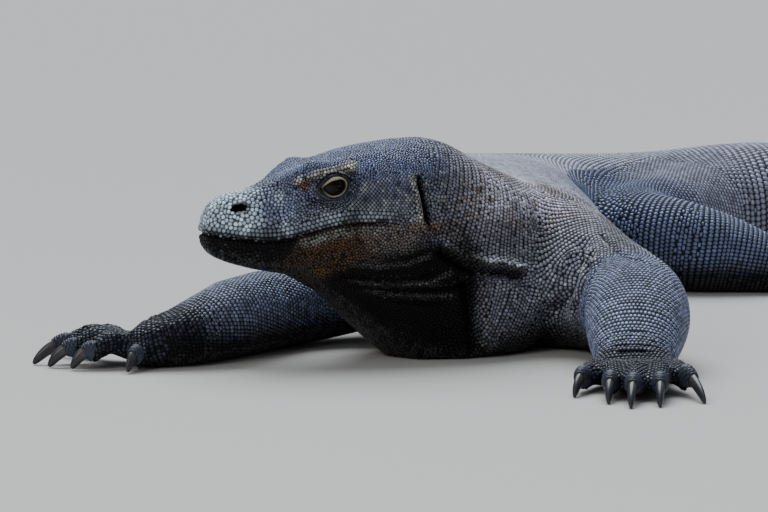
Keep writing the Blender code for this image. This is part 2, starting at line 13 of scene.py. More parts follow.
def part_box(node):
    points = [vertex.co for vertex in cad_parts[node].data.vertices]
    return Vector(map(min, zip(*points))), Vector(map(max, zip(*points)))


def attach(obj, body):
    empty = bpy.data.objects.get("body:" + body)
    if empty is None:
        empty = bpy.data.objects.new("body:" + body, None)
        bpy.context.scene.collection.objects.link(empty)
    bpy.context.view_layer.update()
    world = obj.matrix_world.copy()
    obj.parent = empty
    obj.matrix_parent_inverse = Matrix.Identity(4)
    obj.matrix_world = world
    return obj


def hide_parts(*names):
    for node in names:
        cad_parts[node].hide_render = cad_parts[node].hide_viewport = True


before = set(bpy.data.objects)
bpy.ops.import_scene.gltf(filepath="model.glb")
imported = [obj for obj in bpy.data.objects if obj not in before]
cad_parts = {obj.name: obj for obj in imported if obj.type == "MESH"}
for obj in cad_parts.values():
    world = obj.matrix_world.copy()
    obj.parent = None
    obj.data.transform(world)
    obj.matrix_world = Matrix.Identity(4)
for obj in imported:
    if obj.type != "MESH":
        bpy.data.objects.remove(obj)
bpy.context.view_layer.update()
rng = np.random.default_rng(11)

# ---------------------------------------------------------------- sizes, in metres
SEAM = 0.0006  # the flesh nodes grow by this, which closes the parting cuts between them
VOXEL = 0.0036
COAT_DEPTH = 0.0011  # the skin lies this far inside the solids, under the scales
FLOOR_CLEAR = 0.0012
SMOOTH_ROUNDS = 90
HEAD_END = -0.075  # behind the ear, where the head's and throat's fine skin ends
LID_REACH = 0.0098  # past this distance from the eye's middle the lids leave the ball

# ---------------------------------------------------------------- the frame's own landmarks
HEAD_YAW = math.radians(20)
FORWARD = np.array((-math.cos(HEAD_YAW), -math.sin(HEAD_YAW), 0.0))
LEFTWARD = np.array((math.sin(HEAD_YAW), -math.cos(HEAD_YAW), 0.0))
UP = np.array((0.0, 0.0, 1.0))
EYE_FORWARD, EYE_OUT = 0.074, 0.0305  # the eye from the ear, in the head's own frame
EYE_RADIUS = 0.0115
OPENING_LONG, OPENING_HIGH, OPENING_DROP, OPENING_TILT = 0.0104, 0.0076, -0.0008, 0.13


def opening_share(ahead, up):
    """1 on the rim of the eye's opening, less inside it."""
    return np.hypot(ahead / OPENING_LONG, (up - OPENING_DROP + OPENING_TILT * ahead) / OPENING_HIGH)


def centre_of(node):
    low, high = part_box(node)
    return np.array((low + high) / 2)


EYES = {side: centre_of(f"eye_{side}") for side in ("left", "right")}
EYE_HEIGHT = EYES["left"][2]
EAR = EYES["left"] - FORWARD * EYE_FORWARD - LEFTWARD * EYE_OUT
EAR[2] = 0.0
STANCE_EAR = np.array((0.0155, 0.040, 0.0))
STANCE = EAR - STANCE_EAR  # from the stance's plan, where the body's lines are drawn, to the row's frame


def in_head(points):
    """Forward of the ear, to the left of the head's middle, and the height."""
    offset = points - EAR
    return offset @ FORWARD, offset @ LEFTWARD, points[:, 2]


def from_head(u, v, z):
    return EAR + FORWARD * u + LEFTWARD * v + UP * z


def outward_of(eye):
    """Away from the head's middle, on the eye's own side."""
    return LEFTWARD * np.sign((eye - EAR) @ LEFTWARD)


def square_to(ahead):
    """The level direction across a line's own, and the one over it."""
    across = np.cross(ahead, UP)
    across /= np.linalg.norm(across)
    return across, np.cross(across, ahead)


# ---------------------------------------------------------------- mesh helpers
def linked(name, data):
    made = bpy.data.objects.new(name, data)
    bpy.context.scene.collection.objects.link(made)
    return made


def object_from(name, points, faces):
    mesh = bpy.data.meshes.new(name)
    mesh.from_pydata([tuple(p) for p in points], [], [tuple(f) for f in faces])
    mesh.update()
    return linked(name, mesh)


def points_of(mesh):
    flat = np.empty(len(mesh.vertices) * 3)
    mesh.vertices.foreach_get("co", flat)
    return flat.reshape(-1, 3)


def set_points(mesh, points):
    mesh.vertices.foreach_set("co", points.ravel())
    mesh.update()


def normals_of(mesh):
    flat = np.empty(len(mesh.vertices) * 3, dtype=np.float32)
    mesh.vertex_normals.foreach_get("vector", flat)
    return flat.reshape(-1, 3).astype(float)


def edges_of(mesh):
    flat = np.empty(len(mesh.edges) * 2, dtype=np.int32)
    mesh.edges.foreach_get("vertices", flat)
    return flat.reshape(-1, 2)


def averaged(values, edges, counts):
    """The mean of each vertex's neighbours."""
    out = np.empty_like(values)
    for k in range(values.shape[1]):
        out[:, k] = np.bincount(edges[:, 0], values[edges[:, 1], k], len(values))
        out[:, k] += np.bincount(edges[:, 1], values[edges[:, 0], k], len(values))
    return out / counts[:, None]


def smoothed(mesh, weight, rounds):
    """Evens a mesh out by a weight for each vertex, and gives back the bulk that this takes away."""
    edges = edges_of(mesh)
    counts = np.maximum(np.bincount(edges.ravel(), minlength=len(mesh.vertices)), 1)

    def spread(values):
        for _ in range(rounds):
            values = values + (averaged(values, edges, counts) - values) * weight[:, None]
        return values

    points = points_of(mesh)
    once = spread(points)
    set_points(mesh, once + spread(points - once))


def ramp(value, low, high):
    """0 below low, 1 above high, and a soft step between them."""
    t = np.clip((value - low) / (high - low), 0, 1)
    return t * t * (3 - 2 * t)


def hill(distance, width):
    return np.exp(-((distance / width) ** 2))


def to_line_in_space(points, line):
    """Distance to a broken line in space, easing off beyond its ends."""
    best = np.full(len(points), 1e9)
    for a, b in zip(np.array(line), np.array(line[1:])):
        t = np.clip(((points - a) @ (b - a)) / ((b - a) @ (b - a)), 0, 1)
        best = np.minimum(best, np.linalg.norm(points - a - t[:, None] * (b - a), axis=1))
    return best


def to_line(x, y, line):
    """Distance to a broken line in a plane, the share of the way along it, and the side, + to its left."""
    best = np.full(len(x), 1e9)
    along = np.zeros(len(x))
    side = np.ones(len(x))
    lengths = [math.dist(a, b) for a, b in zip(line, line[1:])]
    total = sum(lengths)
    gone = 0.0
    for (ax, ay), (bx, by), length in zip(line, line[1:], lengths):
        dx, dy = (bx - ax) / length, (by - ay) / length
        t = np.clip((x - ax) * dx + (y - ay) * dy, 0, length)
        gap = np.hypot(x - ax - dx * t, y - ay - dy * t)
        nearer = gap < best
        best = np.where(nearer, gap, best)
        along = np.where(nearer, (gone + t) / total, along)
        side = np.where(nearer, np.sign(dx * (y - ay) - dy * (x - ax)), side)
        gone += length
    return best, along, side


# ---------------------------------------------------------------- the skin
# Lines on the side of the head and neck: forward of the ear and height.
def lip_height(u):
    """The mouth's height: it climbs at the snout, dips behind it and rises to the corner of the jaw."""
    return (
        0.119 - 0.015 * ramp(u, 0.055, 0.128) + 0.007 * ramp(u, 0.130, 0.190)
        - 0.002 * ramp(-u, -0.042, -0.020)
    )


def arc(centre, long, high, start, stop):
    """A line round a centre, by turns in degrees from ahead and downwards."""
    turns = np.radians(np.linspace(start, stop, 9))
    return tuple((centre[0] + long * math.cos(turn), centre[1] - high * math.sin(turn)) for turn in turns)


MOUTH = tuple((u, float(lip_height(u))) for u in np.linspace(0.183, 0.022, 14))
BROW = ((0.106, 0.154), (0.090, 0.160), (0.072, 0.163), (0.057, 0.167))
SOCKET = arc((0.078, 0.152), 0.021, 0.020, -10, 190)
NOSTRIL = (0.1515, 0.1319)
NOSTRIL_LONG, NOSTRIL_HIGH, NOSTRIL_TURN = 0.0070, 0.0031, math.radians(7)
EAR_SLIT = ((0.004, 0.157), (0.001, 0.144), (-0.002, 0.130), (-0.004, 0.116))
THROAT_EDGE = ((-0.032, 0.076), (-0.037, 0.060), (-0.041, 0.035), (-0.049, 0.002))
# Folds: line, half width, depth (a groove is above 0, a ridge below).
FOLDS = (
    (((-0.008, 0.107), (-0.032, 0.0905), (-0.052, 0.0835), (-0.070, 0.0815), (-0.100, 0.0745)), 0.0032, -0.0058),
    (((-0.010, 0.097), (-0.036, 0.0815), (-0.055, 0.0750), (-0.074, 0.0730), (-0.100, 0.0665)), 0.0036, 0.0080),
    (((0.072, 0.0760), (0.052, 0.0722), (0.030, 0.0705), (0.004, 0.0720), (-0.018, 0.0810)), 0.0028, 0.0045),
    (((0.068, 0.0722), (0.045, 0.0675), (0.020, 0.0662), (-0.006, 0.0680), (-0.024, 0.0760)), 0.0026, -0.0030),
    (((0.064, 0.0680), (0.040, 0.0625), (0.015, 0.0612), (-0.018, 0.0622), (-0.048, 0.0700)), 0.0028, 0.0045),
    (((0.056, 0.0635), (0.030, 0.0580), (0.004, 0.0566), (-0.024, 0.0560)), 0.0026, -0.0022),
    (((0.046, 0.0600), (0.024, 0.0540), (0.004, 0.0515), (-0.021, 0.0500)), 0.0028, 0.0035),
    (((0.068, 0.0860), (0.040, 0.0815), (0.012, 0.0835), (-0.006, 0.0900)), 0.0032, -0.0018),
    (THROAT_EDGE, 0.0046, 0.0085),
    (tuple((u - 0.016, z) for u, z in THROAT_EDGE), 0.0050, -0.0024),
)
# The folds that fan from the shoulder down to the armpit, in the stance's plan: the first one's top and foot,
# the step to the next, and how far they bow forwards.
TENT_TOP, TENT_TOP_STEP = np.array((0.170, 0.036, 0.096)), np.array((0.006, -0.016, -0.006))
TENT_FOOT, TENT_FOOT_STEP = np.array((0.147, 0.032, 0.038)), np.array((0.011, -0.020, 0.003))
TENT_BOW = np.array((0.0, -0.012, 0.0))
ARMPIT = np.array((0.136, 0.064, 0.0))


def tent_line(place):
    """One fold of the fan, counted from the neck's side; halves lie between two folds."""
    top, foot = TENT_TOP + place * TENT_TOP_STEP, TENT_FOOT + place * TENT_FOOT_STEP
    return [top + (foot - top) * t + TENT_BOW * 4 * t * (1 - t) for t in np.linspace(0, 1, 7)]


STRAP_STEPS = ((-0.018, -0.004, -0.018), (-0.009, -0.002, -0.007), (0, 0, 0), (0.006, -0.026, -0.014))
STRAP = [TENT_TOP + np.array(step) for step in STRAP_STEPS]
SHOULDER_CREASE = ((0.188, 0.048, 0.096), (0.198, 0.012, 0.090), (0.208, -0.012, 0.088), (0.222, -0.030, 0.083))
# Creases in space: line, half width, depth (a ridge is below 0).
CREASES = (
    (tent_line(0) + [ARMPIT], 0.0090, 0.0080), (tent_line(0), 0.0030, 0.0045), (tent_line(1), 0.0036, 0.0060),
    (tent_line(2), 0.0030, 0.0034), (STRAP, 0.0034, -0.0042), (SHOULDER_CREASE, 0.0030, 0.0034),
)
# Rings pinched round a limb: its line, how far back from the wrist, half width and depth.
PINCHES = (
    ("fore_left", 0.006, 0.0016, 0.0016), ("fore_left", 0.014, 0.0014, 0.0014),
    ("fore_left", 0.022, 0.0014, 0.0012), ("fore_left", 0.030, 0.0014, 0.0010),
    ("fore_right", 0.010, 0.0018, 0.0014), ("fore_right", 0.022, 0.0016, 0.0010),
    ("hind_left", 0.012, 0.0026, 0.0016), ("hind_right", 0.012, 0.0026, 0.0016),
)


def nostril_oval(u, z):
    """1 on the rim of the nostril, less inside it."""
    ahead, up = u - NOSTRIL[0], z - NOSTRIL[1]
    turned_u = ahead * math.cos(NOSTRIL_TURN) - up * math.sin(NOSTRIL_TURN)
    turned_z = ahead * math.sin(NOSTRIL_TURN) + up * math.cos(NOSTRIL_TURN)
    return np.hypot(turned_u / NOSTRIL_LONG, turned_z / NOSTRIL_HIGH)


def headness(u):
    """How far a point belongs to the head and throat, from 0 to 1."""
    return ramp(u, HEAD_END, -0.035)


def toe_nearness(points):
    """1 near the toes, falling to 0 away from them."""
    near = np.zeros(len(points))
    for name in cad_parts:
        if name.startswith("claw_"):
            low, high = (np.array(c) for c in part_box(name))
            gap = np.linalg.norm(np.maximum(low - points, 0) + np.maximum(points - high, 0), axis=1)
            near = np.maximum(near, 1 - ramp(gap, 0.030, 0.055))
    return near


def flesh_joined():
    """The flesh nodes as one closed mesh, grown by the seam's width and melted together."""
    bm = bmesh.new()
    for name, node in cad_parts.items():
        if not name.startswith(("claw_", "eye_")):
            bm.from_mesh(node.data)
    bmesh.ops.remove_doubles(bm, verts=bm.verts, dist=1e-5)
    bm.normal_update()
    for vertex in bm.verts:
        vertex.co += vertex.normal * SEAM
    mesh = bpy.data.meshes.new("flesh")
    bm.to_mesh(mesh)
    bm.free()
    whole = linked("flesh", mesh)
    remesh = whole.modifiers.new("Melt", "REMESH")
    remesh.mode = "VOXEL"
    remesh.voxel_size = VOXEL
    melted = bpy.data.meshes.new_from_object(whole.evaluated_get(bpy.context.evaluated_depsgraph_get()))
    bpy.data.objects.remove(whole)
    return melted


def finer(mesh, chosen):
    """Halves the quads whose corners are all chosen."""
    bm = bmesh.new()
    bm.from_mesh(mesh)
    bm.verts.ensure_lookup_table()
    edges = [e for e in bm.edges if chosen[e.verts[0].index] and chosen[e.verts[1].index]]
    bmesh.ops.subdivide_edges(bm, edges=edges, cuts=1, use_grid_fill=True)
    bm.to_mesh(mesh)
    bm.free()


def feature_distance(points):
    """How far each point is from the nearest line of the mouth, eye, nostril or ear."""
    u, _, z = in_head(points)
    lines = [MOUTH, SOCKET, BROW, EAR_SLIT]
    gaps = [to_line(u, z, line)[0] for line in lines]
    gaps.append(np.hypot(u - NOSTRIL[0], z - NOSTRIL[1]))
    gaps.append(np.hypot(u - EYE_FORWARD, z - EYE_HEIGHT) - 0.008)
    return np.where(z > 0.09, np.min(gaps, axis=0), 1.0)


def sculpted(mesh):
    """Moves the skin's points into the mouth line, sockets, nostrils, ears and folds."""
    points = points_of(mesh)
    normals = normals_of(mesh)
    u, v, z = in_head(points)
    sideways = ramp(np.abs(normals @ LEFTWARD), 0.25, 0.6)
    near_neck = (np.abs(v) < 0.085) * ramp(u, -0.130, -0.100)
    lift = np.zeros(len(points))

    gap, along, _ = to_line(u, z, MOUTH)
    at_mouth = np.where(u > 0.165, 1.0, sideways) * (z > 0.085) * ramp(1 - along, 0.0, 0.12)
    lift -= at_mouth * 0.0030 * hill(gap, 0.0011)
    lift += at_mouth * 0.0007 * hill(gap - 0.0040, 0.0028)

    gap, along, _ = to_line(u, z, BROW)
    lift += sideways * 0.0016 * hill(gap, 0.0026) * np.sin(math.pi * np.clip(along, 0.04, 0.96)) ** 0.5
    gap, along, _ = to_line(u, z + 0.0046, BROW)
    lift -= sideways * 0.0024 * hill(gap, 0.0022) * np.sin(math.pi * np.clip(along, 0.1, 0.9))

    gap, along, _ = to_line(u, z, SOCKET)
    lift -= sideways * 0.0024 * hill(gap, 0.0016) * (z > 0.12)
    gap, along, _ = to_line(u, z - 0.0050, SOCKET)
    lift -= sideways * 0.0010 * hill(gap, 0.0012) * (z > 0.12)

    for line, width, depth in FOLDS:
        gap, along, _ = to_line(u, z, line)
        ends = ramp(along, 0.0, 0.15) * ramp(1 - along, 0.0, 0.15)
        lift -= sideways * near_neck * depth * hill(gap, width) * ends

    tree = BVHTree.FromPolygons(points.tolist(), [list(p.vertices) for p in mesh.polygons])
    for line, width, depth in CREASES:
        lift -= depth * hill(to_line_in_space(points, on_skin(tree, STANCE + np.array(line))[0]), width)
    owners, place, turn, _ = placed_on_lines(points)
    for name, back, width, depth in PINCHES:
        curve = CURVE_NAMES.index(name)
        ring = len(CURVES[name][0]) * LINE_STEP - back
        here = (owners == curve) * (points[:, 2] > 0.004)
        lift -= here * depth * hill(place - ring + 0.004 * np.sin(turn) ** 2, width)

    lift += 0.0028 * hill(np.hypot((u - 0.090) / 0.013, (np.abs(v) - 0.0290) / 0.0070), 1.0) * (z > 0.150)
    lift -= 0.0042 * hill(np.hypot((u - 0.088) / 0.012, v / 0.020), 1.0) * (z > 0.150)

    gap, along, _ = to_line(u, z, EAR_SLIT)
    at_ear = sideways * ramp(along, 0.0, 0.2) * ramp(1 - along, 0.0, 0.2)
    lift -= at_ear * 0.0080 * hill(gap, 0.0020 + 0.0014 * along)
    lift += at_ear * 0.0022 * hill(to_line(u - 0.0060, z, EAR_SLIT)[0], 0.0034)

    oval = nostril_oval(u, z)
    lift += 0.0010 * hill(oval - 1.45, 0.4) * (np.abs(v) > 0.006) * (u > 0.1)
    points += normals * lift[:, None]
    hole = (1 - ramp(oval, 0.60, 1.10)) * (np.abs(v) > 0.005)
    points -= LEFTWARD * (np.sign(v) * 0.0085 * hole)[:, None]

    for eye in EYES.values():
        out = outward_of(eye)
        offset = points - eye
        outward = offset @ out
        across = offset - np.outer(outward, out)
        opening = opening_share(across @ FORWARD, across[:, 2])
        near = (np.linalg.norm(offset, axis=1) < 0.034) * (outward > -0.004)
        far = np.sqrt((across**2).sum(1))
        shell = np.sqrt(np.maximum((EYE_RADIUS + 0.0009) ** 2 - np.minimum(far, LID_REACH) ** 2, 0))
        shell = shell - np.maximum(far - LID_REACH, 0) * 0.30
        hug = near * (1 - ramp(opening, 1.35, 2.1))
        points += np.outer(hug * (shell - outward), out)
        sunk = (1 - ramp(opening, 0.98, 1.22)) * near
        points -= np.outer(sunk * 0.008, out)
    set_points(mesh, points)


def skin():
    mesh = flesh_joined()
    points = points_of(mesh)
    u = in_head(points)[0]
    fine = np.maximum(headness(u) * 0.988, toe_nearness(points) * 0.985)
    smoothed(mesh, 0.5 * (1 - fine), SMOOTH_ROUNDS)
    points = points_of(mesh)
    u, v, z = in_head(points)
    finer(mesh, (u > HEAD_END) & (np.abs(v) < 0.068) & (z > 0.03) | (toe_nearness(points) > 0.5))
    finer(mesh, feature_distance(points_of(mesh)) < 0.0060)
    smoothed(mesh, np.full(len(mesh.vertices), 0.5), 2)
    sculpted(mesh)
    points = points_of(mesh) - normals_of(mesh) * COAT_DEPTH
    points[:, 2] = np.maximum(points[:, 2], FLOOR_CLEAR)
    set_points(mesh, points)
    mesh.shade_smooth()
    return linked("skin", mesh)


# ---------------------------------------------------------------- lines down the body
# In the stance's plan: the middle of the body from the nape to the tail's tip, and of each limb to its wrist.
LINES = {
    "body": (
        (-0.030, 0.024, 0.125), (0.000, 0.036, 0.118), (0.028, 0.046, 0.108), (0.058, 0.068, 0.095),
        (0.084, 0.103, 0.080), (0.098, 0.150, 0.072), (0.098, 0.200, 0.070), (0.092, 0.300, 0.070),
        (0.088, 0.410, 0.070), (0.106, 0.535, 0.066), (0.170, 0.655, 0.062), (0.290, 0.735, 0.060),
        (0.420, 0.765, 0.066), (0.525, 0.790, 0.062), (0.630, 0.810, 0.055), (0.770, 0.826, 0.048),
        (0.950, 0.829, 0.041), (1.150, 0.795, 0.034), (1.350, 0.725, 0.027), (1.540, 0.635, 0.0195),
        (1.710, 0.560, 0.0115), (1.815, 0.524, 0.0055),
    ),
    "fore_left": (
        (0.156, 0.112, 0.066), (0.186, 0.060, 0.056), (0.210, 0.006, 0.050), (0.210, -0.046, 0.045),
        (0.204, -0.092, 0.034), (0.200, -0.124, 0.022), (0.198, -0.150, 0.014),
    ),
    "fore_right": (
        (0.014, 0.152, 0.062), (-0.030, 0.132, 0.048), (-0.076, 0.104, 0.036), (-0.108, 0.060, 0.036),
        (-0.134, 0.018, 0.034), (-0.158, -0.014, 0.029), (-0.181, -0.029, 0.022), (-0.207, -0.029, 0.016),
    ),
    "hind_left": (
        (0.345, 0.680, 0.066), (0.302, 0.618, 0.060), (0.262, 0.550, 0.053), (0.312, 0.514, 0.049),
        (0.362, 0.508, 0.041), (0.408, 0.504, 0.030), (0.446, 0.494, 0.021), (0.482, 0.478, 0.015),
    ),
    "hind_right": (
        (0.366, 0.864, 0.064), (0.332, 0.930, 0.056), (0.312, 0.990, 0.050), (0.356, 1.020, 0.048),
        (0.408, 1.028, 0.040), (0.454, 1.034, 0.029), (0.492, 1.046, 0.021), (0.528, 1.064, 0.015),
    ),
}
LINE_STEP = 0.001


def curve_through(stations):
    """A smooth line through the stations, in even steps, and its directions."""
    stations = np.array(stations)
    padded = np.vstack((2 * stations[0] - stations[1], stations, 2 * stations[-1] - stations[-2]))
    rough = []
    for a, b, c, d in zip(padded, padded[1:], padded[2:], padded[3:]):
        for f in np.linspace(0, 1, 24, endpoint=False):
            rough.append(
                0.5 * (2 * b + (c - a) * f + (2 * a - 5 * b + 4 * c - d) * f * f + (3 * b - a - 3 * c + d) * f**3)
            )
    rough = np.array(rough + [stations[-1]])
    gone = np.concatenate(([0], np.cumsum(np.linalg.norm(np.diff(rough, axis=0), axis=1))))
    even = np.arange(0, gone[-1], LINE_STEP)
    points = np.column_stack([np.interp(even, gone, rough[:, k]) for k in range(3)])
    ahead = np.gradient(points, axis=0)
    return points, ahead / np.linalg.norm(ahead, axis=1)[:, None]


def digit_lines():
    """A line from the palm or sole out to the root of each claw."""
    lines = {}
    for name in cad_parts:
        if name.startswith("claw_"):
            pair, side, digit = name.split("_")[1:]
            palm = STANCE + np.array(LINES[f"{pair}_{side}"][-1])
            claw = points_of(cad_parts[name].data)
            reach = np.linalg.norm(claw - palm, axis=1)
            root = claw[reach < reach.min() + 0.006].mean(axis=0)
            start = palm + (root - palm) * 0.25
            lines[f"{pair}_{side}_{digit}"] = (start, (start + root) / 2 + np.array((0, 0, 0.002)), root)
    return lines


CURVES = {
    "head": curve_through([from_head(u, 0, z) for u, z in ((0.176, 0.108), (0.10, 0.115), (0.0, 0.122))]),
    **{name: curve_through(STANCE + np.array(line)) for name, line in LINES.items()},
    **{name: curve_through(line) for name, line in digit_lines().items()},
}
CURVE_NAMES = list(CURVES)


def placed_on_lines(points):
    """For each point its nearest line, the distance along it, the turn round it and the line's direction."""
    tree = KDTree(sum(len(curve[0]) for curve in CURVES.values()))
    owners, steps, ahead, middles = [], [], [], []
    for number, (middle, direction) in enumerate(CURVES.values()):
        for step in range(0, len(middle), 3):
            tree.insert(middle[step], len(owners))
            owners.append(number)
            steps.append(step * LINE_STEP)
            ahead.append(direction[step])
            middles.append(middle[step])
    tree.balance()
    found = np.array([tree.find(point)[1] for point in points])
    owners, steps, ahead, middles = (np.array(values)[found] for values in (owners, steps, ahead, middles))
    offset = points - middles
    along = (offset * ahead).sum(1)
    side = np.cross(ahead, (0.0, 0.0, 1.0))
    side /= np.linalg.norm(side, axis=1)[:, None]
    over = np.cross(side, ahead)
    turn = np.arctan2((offset * over).sum(1), (offset * side).sum(1))
    return owners, steps + along, turn, ahead


# ---------------------------------------------------------------- where the scales grow
RAYS = 96


def ring_outline(tree, middle, ahead, reach):
    """The skin's outline where a plane across a line cuts it, from the top round and back."""
    side, over = square_to(ahead)
    turns = math.pi / 2 + np.linspace(0, math.tau, RAYS, endpoint=False)
    hits = np.full((RAYS, 3), np.nan)
    for k, turn in enumerate(turns):
        way = side * math.cos(turn) + over * math.sin(turn)
        spot, _, _, far = tree.ray_cast(middle, way, reach)
        if spot is not None:
            hits[k] = spot
    far = np.linalg.norm(hits - middle, axis=1)
    hits[far > 1.4 * np.nanmedian(far)] = np.nan
    return hits


def rows_round(outline, spacing, shift):
    """Points along both sides of an outline, counted from its top."""
    found = []
    for half in (outline[: RAYS // 2 + 1], np.vstack((outline[:1], outline[::-1][: RAYS // 2]))):
        steps = np.nan_to_num(np.linalg.norm(np.diff(half, axis=0), axis=1), nan=spacing / 2)
        gone = np.concatenate(([0], np.cumsum(steps)))
        wanted = np.arange(shift * spacing, gone[-1], spacing)
        found.append(np.column_stack([np.interp(wanted, gone, half[:, k]) for k in range(3)]))
    found = np.vstack(found)
    return found[~np.isnan(found).any(axis=1)]


def lattice(tree, name, along, round_spacing, reach):
    """Scale roots in rings round one of the lines, each ring half a scale off the last."""
    middle, ahead = CURVES[name]
    roots, sizes = [], []
    place, number = 0.0, 0
    total = len(middle) * LINE_STEP
    while place < total - LINE_STEP:
        step = int(place / LINE_STEP)
        outline = ring_outline(tree, middle[step], ahead[step], reach)
        share = place / total
        found = rows_round(outline, round_spacing(share), 0.5 * (number % 2))
        roots.append(found)
        sizes.append(np.full(len(found), math.sqrt(round_spacing(share) * along(share))))
        place += along(share)
        number += 1
    return np.vstack(roots), np.concatenate(sizes)


def spaced(roots, sizes, taken, taken_sizes, share):
    """The roots that keep their share of a scale's size from each other and from those already taken."""
    tree = KDTree(len(taken) + len(roots))
    for i, point in enumerate(np.vstack((taken, roots))):
        tree.insert(point, i)
    tree.balance()
    alive = np.ones(len(taken) + len(roots), dtype=bool)
    limit = share * np.concatenate((taken_sizes, sizes))
    for i, point in enumerate(np.vstack((taken, roots))):
        if alive[i]:
            for _, j, _ in tree.find_range(point, limit[i]):
                if j > i and j >= len(taken):
                    alive[j] = False
    return alive[len(taken):]


def scattered(mesh, want, size_of, share):
    """Random points on the skin wherever they are wanted, as many as there is room for."""
    mesh.calc_loop_triangles()
    flat = np.empty(len(mesh.loop_triangles) * 3, dtype=np.int32)
    mesh.loop_triangles.foreach_get("vertices", flat)
    corners = points_of(mesh)[flat.reshape(-1, 3)]
    middles = corners.mean(axis=1)
    area = np.linalg.norm(np.cross(corners[:, 1] - corners[:, 0], corners[:, 2] - corners[:, 0]), axis=1) / 2
    room = area / size_of(middles) ** 2 * want(middles)
    count = int(room.sum() * share)
    chosen = rng.choice(len(room), count, p=room / room.sum())
    a, b = rng.random((2, count))
    over = a + b > 1
    a[over], b[over] = 1 - a[over], 1 - b[over]
    picked = corners[chosen]
    edges = picked[:, 1:] - picked[:, :1]
    points = picked[:, 0] + edges[:, 0] * a[:, None] + edges[:, 1] * b[:, None]
    return points, size_of(points)


def on_skin(tree, points):
    """The nearest places on the skin, and its normals there."""
    found = [tree.find_nearest(point)[:2] for point in points]
    return np.array([f[0] for f in found]), np.array([f[1] for f in found])


def neighbours(points, count):
    tree = KDTree(len(points))
    for i, point in enumerate(points):
        tree.insert(point, i)
    tree.balance()
    return np.array([[j for _, j, _ in tree.find_n(point, count + 1)][1:] for point in points])


def evened(tree, points, sizes, free, rounds=4):
    """Pushes crowded roots apart over the skin."""
    for _ in range(rounds):
        near = neighbours(points, 7)
        offset = points[:, None] - points[near]
        gap = np.linalg.norm(offset, axis=2) + 1e-9
        wanted = 0.5 * (sizes[:, None] + sizes[near]) * 1.04
        push = np.clip(wanted - gap, 0, None) / gap
        points = points + (offset * push[:, :, None]).sum(axis=1) * 0.22 * free[:, None]
        points, normals = on_skin(tree, points)
    return points, normals


def head_size(points):
    """The size of the scales on the head, throat and neck."""
    u, _, z = in_head(points)
    size = 0.0021 + 0.0013 * ramp(u, 0.108, 0.135) + 0.0011 * ramp(-u, -0.02, 0.05)
    size = size + 0.0003 * (1 - ramp(z, 0.135, 0.160)) * (1 - ramp(u, 0.105, 0.135))
    eye = np.hypot(u - EYE_FORWARD, z - EYE_HEIGHT + 0.003)
    return np.where(z > 0.12, size - 0.0004 * (1 - ramp(eye, 0.012, 0.020)) * (u < 0.11), size)


def general_size(points):
    """The size of the scales that fill in between the rows."""
    plan = points - STANCE
    size = 0.0031 + 0.0022 * ramp(plan[:, 1], 0.10, 0.25)
    size = size - 0.0006 * toe_nearness(points)
    u, v, _ = in_head(points)
    head = ramp(u, -0.06, -0.02) * (np.abs(v) < 0.075)
    return size * (1 - head) + head_size(points) * head


CHEEK_LOW, CHEEK_HIGH = ((0.066, 0.1320), (0.010, 0.1290)), ((0.062, 0.1530), (0.010, 0.1580))
CHEEK_ROWS = 14


def side_rows():
    """Rows of plates along the lips and brow, and long fine scales over the cheek, on both sides of the head."""
    rows = [
        (MOUTH, 0.0026, 0.0034, 0.0, 1.0), (MOUTH, -0.0030, 0.0032, 0.0, 1.0),
        (MOUTH, 0.0059, 0.0035, 0.5, 1.0), (MOUTH, 0.0093, 0.0036, 0.0, 1.0),
        (BROW, 0.0004, 0.0030, 0.0, 1.0), (BROW, 0.0030, 0.0028, 0.5, 1.0),
    ]
    for row in range(CHEEK_ROWS):
        share = row / (CHEEK_ROWS - 1)
        line = [(u, z * (1 - share) + high * share) for (u, z), (_, high) in zip(CHEEK_LOW, CHEEK_HIGH)]
        rows.append((line, 0.0, 0.0032, 0.5 * (row % 2), 0.75))
    roots, sizes = [], []
    for line, lift, size, shift, share in rows:
        line = np.array(line)
        gone = np.concatenate(([0], np.cumsum(np.linalg.norm(np.diff(line, axis=0), axis=1))))
        wanted = np.arange(size * (0.5 + shift), gone[-1], size)
        for side in (1, -1):
            for place in wanted:
                u = np.interp(place, gone, line[:, 0])
                z = np.interp(place, gone, line[:, 1]) + lift
                roots.append((u, side, z))
                sizes.append(size * share)
    return roots, np.array(sizes)


def rows_on_head(tree):
    """The side rows, brought onto the skin from the side."""
    roots, sizes = side_rows()
    found, kept = [], []
    for (u, side, z), size in zip(roots, sizes):
        spot = tree.ray_cast(from_head(u, 0.12 * side, z), -LEFTWARD * side, 0.118)[0]
        if spot is not None:
            found.append(np.array(spot))
            kept.append(size)
    return np.array(found), np.array(kept)


# How far from its line a ring of scales may lie, and how much of a scale's size the scattered ones keep clear.
DIGIT_REACH, LIMB_REACH = 0.016, 0.2
ROW_GAP, FILL_GAP, CROWDED_GAP, HOLE_GAP = 0.66, 0.78, 0.60, 0.86


